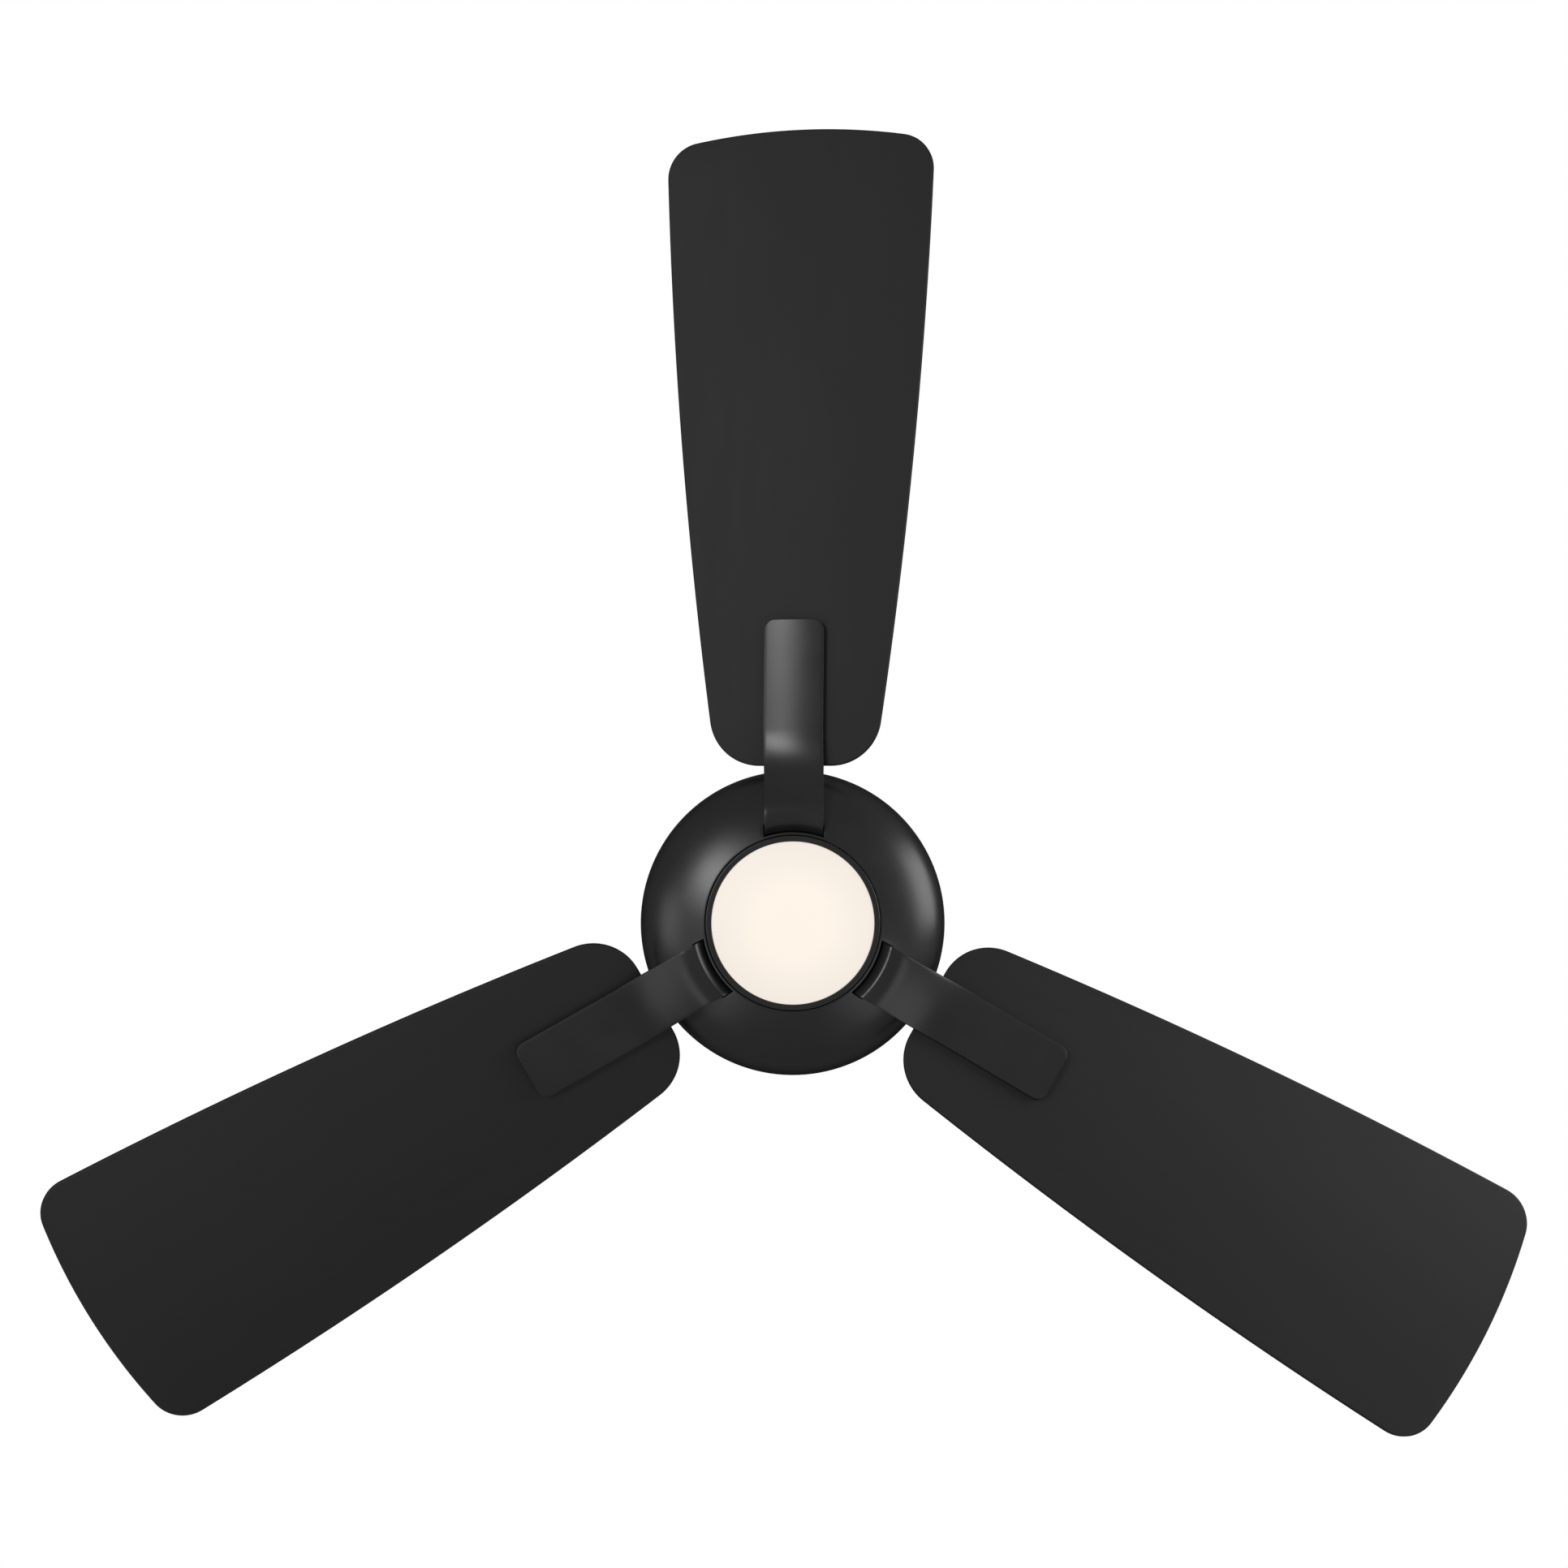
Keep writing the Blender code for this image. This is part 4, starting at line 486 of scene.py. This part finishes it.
def motor_housing(black):
    """Still upper shell of the motor: a flat top and a side that falls as part of an ellipse."""
    low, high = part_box("motor_housing")
    radius, hole = high.x, HOUSING_HOLE_RADIUS
    start = math.acos(HOUSING_TOP_RADIUS / radius)
    rise = (high.z - low.z) / math.sin(start)
    inner_start = math.acos((HOUSING_TOP_RADIUS - SHEET) / (radius - SHEET))
    inner_rise = rise - HOUSING_TOP_THICKNESS
    outside = ellipse((0, low.z), radius, rise, start, 0, 48)
    inside = ellipse((0, low.z), radius - SHEET, inner_rise, 0, inner_start, 48)
    profile = [(hole, high.z)] + outside + inside + [(hole, high.z - HOUSING_TOP_THICKNESS)]
    piece = turned("housing_shell", profile, black)
    show(piece, HANGING, "black_satin", "motor_housing")


def trim_ring(black):
    low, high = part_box("light_trim_ring")
    radius = high.x
    outline = [
        (radius, high.z, 0),
        (radius, low.z, 0.0008),
        (TRIM_INNER_RADIUS, low.z, 0.0005),
        (TRIM_INNER_RADIUS, TRIM_FLANGE_Z, 0),
        (TRIM_PAN_RADIUS, TRIM_FLANGE_Z, 0),
        (TRIM_PAN_RADIUS, high.z, 0),
    ]
    piece = turned("trim_ring", rounded(outline), black, 192)
    show(piece, HANGING, "black_satin", "light_trim_ring")


def lens(opal):
    """Shallow domed diffuser with the flange that the trim ring holds."""
    low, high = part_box("lens")
    radius, edge = LENS_RADIUS, LENS_EDGE_Z
    sag = edge - low.z
    outside = [(radius * i / 24, edge - sag * (1 - (i / 24) ** 2)) for i in range(25)]
    inner = radius - LENS_WALL
    inside = []
    for i in range(24, -1, -1):
        r = inner * i / 24
        inside.append((r, edge - sag * (1 - (r / radius) ** 2) + LENS_WALL))
    flange = [(radius, LENS_FLANGE_Z), (high.x, LENS_FLANGE_Z), (high.x, high.z), (inner, high.z)]
    piece = turned("lens_dome", outside[:-1] + [(radius, edge)] + flange + inside, opal, 192)
    show(piece, HANGING, "opal", "lens")


# Pieces that turn

def bowl_columns():
    """Grid columns over a third of a turn: (share of the way to the slot's end, share of the rest)."""
    inside = [(i / 10, 0.0) for i in range(-10, 11)]
    beyond = [(1.0, i / 16) for i in range(1, 17)]
    before = [(-1.0, -i / 16) for i in range(15, 0, -1)]
    return before + inside + beyond


def bowl_shell(black):
    """Turning bowl: one sheet with rounded slots where the arms pass, and a lip round the light."""
    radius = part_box("bowl")[1].x
    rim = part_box("bowl")[1].z
    inner, outer = SLOT_RADII
    steps = 20
    falling = [(radius, rim), (radius, (rim + BOWL_EQUATOR_Z) / 2)]
    for i in range(steps + 1):
        turn = math.acos(outer / radius) * i / steps
        falling.append((radius * math.cos(turn), BOWL_EQUATOR_Z - BOWL_DEPTH * math.sin(turn)))
    for i in range(1, 5):
        r = outer + (inner - outer) * i / 4
        falling.append((r, BOWL_EQUATOR_Z - BOWL_DEPTH * math.sqrt(1 - (r / radius) ** 2)))
    slot_rows = range(len(falling) - 5, len(falling) - 1)
    floor = BOWL_EQUATOR_Z - BOWL_DEPTH * math.sqrt(1 - (BOWL_HOLE_RADIUS / radius) ** 2)
    falling += [(BOWL_HOLE_RADIUS + 0.0006, floor + 0.0001), (BOWL_HOLE_RADIUS, floor + 0.0008)]
    falling += [(BOWL_HOLE_RADIUS, BOWL_LIP_Z)]

    bm = bmesh.new()
    columns = bowl_columns()
    grid = []
    for r, z in falling:
        edge = math.asin(SLOT_HALF_WIDTH / min(max(r, inner), outer))
        ring = []
        for centre in BLADE_ANGLES:
            for in_slot, rest in columns:
                angle = centre + edge * in_slot + (math.pi / 3 - edge) * rest
                ring.append(bm.verts.new((r * math.cos(angle), r * math.sin(angle), z)))
        grid.append(ring)
    count = len(grid[0])
    for row, (upper, lower) in enumerate(zip(grid, grid[1:])):
        for i in range(count):
            in_slot = 15 <= i % len(columns) < 35
            if in_slot and row in slot_rows:
                continue
            j = (i + 1) % count
            bm.faces.new((upper[i], upper[j], lower[j], lower[i]))
    piece = mesh_piece("bowl_shell", bm, black)
    wall = piece.modifiers.new("wall", "SOLIDIFY")
    wall.thickness = BOWL_WALL
    wall.offset = -1.0
    wall.use_even_offset = True
    edges = piece.modifiers.new("edges", "BEVEL")
    edges.width = BOWL_EDGE_ROUND
    edges.segments = 2
    edges.limit_method = "ANGLE"
    edges.angle_limit = math.radians(50)
    applied(piece)
    piece.data.set_sharp_from_angle(angle=math.radians(40))
    show(piece, TURNING, "black_satin", "bowl")


def bowl_bosses(black):
    """Posts inside the bowl, between the arms, that its three screws hold."""
    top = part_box("blade_arm_1")[1].z
    for number, angle in enumerate(BLADE_ANGLES, 1):
        outline = [
            (BOSS_RADIUS, BOSS_BOTTOM_Z, 0),
            (BOSS_RADIUS, top, 0.0005),
            (BOSS_BORE_RADIUS, top, 0),
            (BOSS_BORE_RADIUS, BOSS_BORE_END_Z, 0),
            (0.0, BOSS_BORE_END_Z, 0),
            (0.0, BOSS_BOTTOM_Z, 0),
        ]
        piece = turned(f"bowl_boss_{number}", rounded(outline), black, 32)
        turn = angle + math.pi / 3
        piece.location = (BOSS_CIRCLE_RADIUS * math.cos(turn), BOSS_CIRCLE_RADIUS * math.sin(turn), 0)
        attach(piece, TURNING)


def slope_at(u, steepest):
    start, full, easing, end = ARM_SLOPE_U
    return steepest * max(0.0, min(1.0, (u - start) / (full - start), (end - u) / (end - easing)))


def arm_path():
    """The arm's upper face along its centre: (distance along the radius, height, heading)."""
    tab_end = ARM_LEG_RADIUS - ARM_TAB_BEND_RADIUS
    bend_z = ARM_TAB_TOP_Z - ARM_TAB_BEND_RADIUS
    quarter = math.pi / 2
    path = [(ARM_TAB_INNER_U, ARM_TAB_TOP_Z, 0.0)]
    for i in range(11):
        turn = quarter * i / 10
        u = tab_end + ARM_TAB_BEND_RADIUS * math.sin(turn)
        path.append((u, bend_z + ARM_TAB_BEND_RADIUS * math.cos(turn), -turn))
    return path + curl_path() + slope_path()


def curl_path():
    """From the leg round to level: two tight bends with a flat at 45 degrees between them."""
    first, last = ARM_CURL_RADII
    eighth = math.pi / 4
    low = (ARM_CURL_END_U, ARM_CURL_Z + last)
    u = ARM_LEG_RADIUS + first
    across = low[0] - last * math.cos(eighth) - (u - first * math.cos(eighth))
    z = low[1] - last * math.sin(eighth) + across + first * math.sin(eighth)
    return bend((u, z), first, 0, eighth, 5) + bend(low, last, eighth, 2 * eighth, 6)


def bend(centre, radius, start, end, steps):
    """Part of the curl about a centre, from straight down towards level."""
    path = []
    for i in range(steps + 1):
        turn = start + (end - start) * i / steps
        u = centre[0] - radius * math.cos(turn)
        path.append((u, centre[1] - radius * math.sin(turn), turn - math.pi / 2))
    return path


def slope_path(steps=48):
    """From the curl up to the blade and along it to the arm's end."""
    start, full, easing, end = ARM_SLOPE_U
    under_blade = BLADE_FACE_Z - GAP
    steepest = (under_blade - ARM_CURL_Z) / ((full - start) / 2 + (easing - full) + (end - easing) / 2)
    step = (end - start) / steps
    path, height = [], ARM_CURL_Z
    for i in range(steps):
        u = start + step * (i + 1)
        height += slope_at(u - step / 2, steepest) * step
        path.append((u, height, math.atan(slope_at(u, steepest))))
    corner = ARM_END_U - ARM_END_CORNER
    path += [(end + (corner - end) * i / 6, under_blade, 0.0) for i in range(1, 6)]
    for i in range(13):
        turn = math.radians(86) * i / 12
        path.append((corner + ARM_END_CORNER * math.sin(turn), under_blade, 0.0))
    return path


def arm_half_width(u):
    narrow, wide = ARM_HALF_WIDTHS
    half = narrow + (wide - narrow) * smooth(u, ARM_SLOPE_U[0], ARM_SLOPE_U[3])
    into_corner = u - (ARM_END_U - ARM_END_CORNER)
    if into_corner > 0:
        half -= ARM_END_CORNER - math.sqrt(max(0.0, ARM_END_CORNER**2 - into_corner**2))
    return half


def arm_depth(v, crowned):
    """Thickness at v: an even strap, turning into a crown whose slope falls evenly across the blade."""
    wide = ARM_HALF_WIDTHS[1]
    across = v + wide
    first, last = ARM_CROWN_SLOPES
    crown = ARM_EDGE_DEPTH + first * across + (last - first) * across**2 / (4 * wide)
    return ARM_THICKNESS + (crown - ARM_THICKNESS) * crowned


def arm_section(u, z, heading, across=17):
    """Ring of points round the arm at one place on its path."""
    start, end = ARM_SLOPE_U[0], ARM_SLOPE_U[3]
    curved = 1 - smooth(u, start + ARM_STRAIGHTENS_AFTER, end) if u > ARM_TAB_INNER_U else 0.0
    pitched = smooth(u, start, end)
    crowned = smooth(u, start + ARM_CROWNS_AFTER, end)
    half = arm_half_width(u)
    spots = [half * (2 * i / (across - 1) - 1) for i in range(across)]
    ring = [(v, 0.0) for v in spots] + [(v, -arm_depth(v, crowned)) for v in reversed(spots)]
    pitch = BLADE_PITCH * pitched
    points = []
    for v, w in ring:
        side = v * math.cos(pitch) + w * math.sin(pitch)
        off = w * math.cos(pitch) - v * math.sin(pitch)
        radial = u - off * math.sin(heading)
        height = z + off * math.cos(heading)
        bowed = math.sqrt(radial**2 - side**2)
        points.append((radial + (bowed - radial) * curved, side, height))
    return points


def lofted(name, rings, material):
    """A closed body through rings of points, all of the same length."""
    bm = bmesh.new()
    loops = [[bm.verts.new(point) for point in ring] for ring in rings]
    count = len(loops[0])
    for near, far in zip(loops, loops[1:]):
        for i in range(count):
            j = (i + 1) % count
            bm.faces.new((near[i], near[j], far[j], far[i]))
    half = count // 2
    for end in (loops[0], loops[-1]):
        for i in range(half - 1):
            bm.faces.new((end[i], end[i + 1], end[count - 2 - i], end[count - 1 - i]))
    return mesh_piece(name, bm, material)


def blade_arms(black):
    for number, angle in enumerate(BLADE_ANGLES, 1):
        piece = lofted(f"arm_{number}", [arm_section(*place) for place in arm_path()], black)
        edges = piece.modifiers.new("edges", "BEVEL")
        edges.width = ARM_EDGE_ROUND
        edges.segments = 3
        edges.limit_method = "ANGLE"
        edges.angle_limit = math.radians(45)
        applied(piece)
        piece.data.set_sharp_from_angle(angle=math.radians(40))
        piece.rotation_euler = (0, 0, angle)
        show(piece, TURNING, "black_satin", f"blade_arm_{number}")


def blade_outline():
    """Outline in the blade's own plane: straight root, bowed sides and an arched tip, all corners round."""
    side_centre, side_radius = bowed_side()
    tip_centre = (BLADE_TIP_RADIUS - TIP_ARC_RADIUS, 0.0)
    root_u = BLADE_ROOT_RADIUS + ROOT_CORNER_RADIUS
    reach = side_radius - ROOT_CORNER_RADIUS
    root_v = side_centre[1] + math.sqrt(reach**2 - (root_u - side_centre[0]) ** 2)
    side_angle = math.atan2(root_v - side_centre[1], root_u - side_centre[0])
    root = arc((root_u, root_v), ROOT_CORNER_RADIUS, math.pi, side_angle, 20)

    inset_side, inset_tip = side_radius - TIP_CORNER_RADIUS, TIP_ARC_RADIUS - TIP_CORNER_RADIUS
    corner = circles_meet(side_centre, inset_side, tip_centre, inset_tip)
    side_end = math.atan2(corner[1] - side_centre[1], corner[0] - side_centre[0])
    tip_start = math.atan2(corner[1] - tip_centre[1], corner[0] - tip_centre[0])
    tip_corner = arc(corner, TIP_CORNER_RADIUS, side_end, tip_start, 18)
    side = arc(side_centre, side_radius, side_angle, side_end, 32)[1:-1]
    tip = arc(tip_centre, TIP_ARC_RADIUS, tip_start, 0, 16)[1:]
    upper = root + side + tip_corner + tip
    return upper + [(u, -v) for u, v in reversed(upper[:-1])]


def bowed_side():
    """Centre and radius of the arc through the side's two stated points."""
    (u0, v0), (u1, v1) = SIDE_INNER, SIDE_OUTER
    chord = math.hypot(u1 - u0, v1 - v0)
    radius = chord**2 / (8 * SIDE_BOW) + SIDE_BOW / 2
    along = ((u1 - u0) / chord, (v1 - v0) / chord)
    back = radius - SIDE_BOW
    return ((u0 + u1) / 2 + along[1] * back, (v0 + v1) / 2 - along[0] * back), radius


def circles_meet(centre_a, radius_a, centre_b, radius_b):
    """The point where two circles meet on the +v side."""
    across = Vector(centre_b) - Vector(centre_a)
    distance = across.length
    along = (radius_a**2 - radius_b**2 + distance**2) / (2 * distance)
    off = math.sqrt(radius_a**2 - along**2)
    foot = Vector(centre_a) + across / distance * along
    side = Vector((-across.y, across.x)) / distance * off
    return max((foot + side, foot - side), key=lambda point: point.y)


def inset(outline, distance):
    """The outline moved inwards by a distance, each point along its own normal."""
    count = len(outline)
    moved = []
    for i, (u, v) in enumerate(outline):
        ahead, behind = outline[(i + 1) % count], outline[i - 1]
        along = Vector((ahead[0] - behind[0], ahead[1] - behind[1])).normalized()
        moved.append((u + along.y * distance, v - along.x * distance))
    return moved


def blade_mesh(name, material):
    """Flat board with fully rounded edges, root to tip."""
    outline = blade_outline()
    radius = BLADE_EDGE_ROUND
    levels = []
    for i in range(6):
        turn = math.pi / 2 * i / 5
        levels.append((radius * (1 - math.sin(turn)), radius * (1 - math.cos(turn))))
    levels += [(shift, BLADE_THICKNESS - height) for shift, height in reversed(levels)]
    bm = bmesh.new()
    loops = []
    for shift, height in levels:
        loops.append([bm.verts.new((u, v, height)) for u, v in inset(outline, shift)])
    count = len(outline)
    for lower, upper in zip(loops, loops[1:]):
        for i in range(count):
            j = (i + 1) % count
            bm.faces.new((lower[i], lower[j], upper[j], upper[i]))
    bm.faces.new(loops[0])
    bm.faces.new(loops[-1])
    return mesh_piece(name, bm, material)


def blades(matt):
    for number, angle in enumerate(BLADE_ANGLES, 1):
        piece = blade_mesh(f"fan_blade_{number}", matt)
        piece.location = (0, 0, BLADE_FACE_Z)
        piece.rotation_euler = (-BLADE_PITCH, 0, angle)
        show(piece, TURNING, "blade_black", f"blade_{number}")


def blade_screw_heads(black):
    count = 0
    for angle in BLADE_ANGLES:
        turn = Euler((-BLADE_PITCH, 0, angle))
        for u, v in BLADE_SCREW_SPOTS:
            count += 1
            piece = cross_head_screw(f"blade_screw_head_{count}", *BLADE_SCREW, black)
            spot = turn.to_matrix() @ Vector((u, v, BLADE_THICKNESS + GAP))
            piece.location = Vector((0, 0, BLADE_FACE_Z)) + spot
            piece.rotation_euler = turn
            show(piece, TURNING, "black_satin", f"blade_screw_{count}")


# Camera, lights and room

def camera():
    """Camera below the fan, looking almost straight up."""
    data = bpy.data.cameras.new("camera")
    data.lens = CAMERA_LENS
    data.sensor_width = SENSOR_WIDTH
    eye = bpy.data.objects.new("camera", data)
    bpy.context.scene.collection.objects.link(eye)
    forward = (CAMERA_AIM - CAMERA_PLACE).normalized()
    up = (Vector((0, 1, 0)) - forward * forward.y).normalized()
    right = forward.cross(up)
    turn = Matrix((right, up, -forward)).transposed() @ Matrix.Rotation(CAMERA_ROLL, 3, "Z")
    eye.matrix_world = Matrix.Translation(CAMERA_PLACE) @ turn.to_4x4()
    bpy.context.scene.camera = eye


def lights():
    for name, azimuth, tilt, distance, width, height, watts in LIGHTS:
        data = bpy.data.lights.new(name, "AREA")
        data.shape = "RECTANGLE"
        data.size = width
        data.size_y = height
        data.energy = watts
        lamp = bpy.data.objects.new(name, data)
        bpy.context.scene.collection.objects.link(lamp)
        lamp.visible_camera = False
        turn, lean = math.radians(azimuth), math.radians(tilt)
        outward = math.sin(lean)
        direction = Vector((outward * math.cos(turn), outward * math.sin(turn), -math.cos(lean)))
        lamp.location = LIGHT_TARGET + direction * distance
        lamp.rotation_euler = direction.to_track_quat("Z", "Y").to_euler()
        lamp.visible_glossy = tilt < 90


def room():
    """White surroundings that light less than they look, least from above, and a pale floor well below.

    The floor glows a little, because it is kept from lighting the fan and from showing in its paint.
    """
    world = bpy.data.worlds.new("room")
    bpy.context.scene.world = world
    world.use_nodes = True
    nodes, links = world.node_tree.nodes, world.node_tree.links
    backdrop = nodes["Background"]
    backdrop.inputs["Color"].default_value = (1, 1, 1, 1)
    ambient = nodes.new("ShaderNodeBackground")
    ambient.inputs["Color"].default_value = (1, 1, 1, 1)
    direction = nodes.new("ShaderNodeTexCoord")
    split = nodes.new("ShaderNodeSeparateXYZ")
    links.new(direction.outputs["Generated"], split.inputs["Vector"])
    fade = nodes.new("ShaderNodeMapRange")
    fade.inputs["From Min"].default_value = 0.0
    fade.inputs["From Max"].default_value = CEILING_FADE
    fade.inputs["To Min"].default_value = ROOM_LIGHT
    fade.inputs["To Max"].default_value = CEILING_LIGHT
    links.new(split.outputs["Z"], fade.inputs["Value"])
    links.new(fade.outputs["Result"], ambient.inputs["Strength"])
    seen = nodes.new("ShaderNodeLightPath")
    choice = nodes.new("ShaderNodeMixShader")
    links.new(seen.outputs["Is Camera Ray"], choice.inputs["Fac"])
    links.new(ambient.outputs["Background"], choice.inputs[1])
    links.new(backdrop.outputs["Background"], choice.inputs[2])
    links.new(choice.outputs["Shader"], nodes["World Output"].inputs["Surface"])
    bpy.context.scene.view_settings.view_transform = "Standard"

    paper = finish("floor_paper", (0.78, 0.78, 0.78), (0.82, 0.82, 0.82), (0.80, 0.90),
                   mottle=2.0, grain=40.0, depth=2e-4)
    shader = paper.node_tree.nodes["Principled BSDF"]
    shader.inputs["Emission Color"].default_value = (1, 1, 1, 1)
    shader.inputs["Emission Strength"].default_value = FLOOR_GLOW
    bm = bmesh.new()
    bmesh.ops.create_grid(bm, x_segments=8, y_segments=8, size=FLOOR_SIZE / 2)
    floor = mesh_piece("floor", bm, paper)
    floor.location.z = FLOOR_Z
    floor.visible_glossy = False
    floor.visible_diffuse = False


def carry_over(materials):
    """Gives every CAD node the material of its slot."""
    for part in frame["record"]["subparts"]:
        mesh = frame["nodes"][part["node"]].data
        mesh.materials.clear()
        mesh.materials.append(materials[part["material_slot"]])


def main():
    materials = all_materials()
    carry_over(materials)
    black = materials["black_satin"]
    canopy(black)
    canopy_screw_heads(black)
    downrod(black)
    coupling_cover(black)
    motor_housing(black)
    trim_ring(black)
    lens(materials["opal"])
    bowl_shell(black)
    bowl_bosses(black)
    blade_arms(black)
    blades(materials["blade_black"])
    blade_screw_heads(black)
    camera()
    lights()
    room()


main()
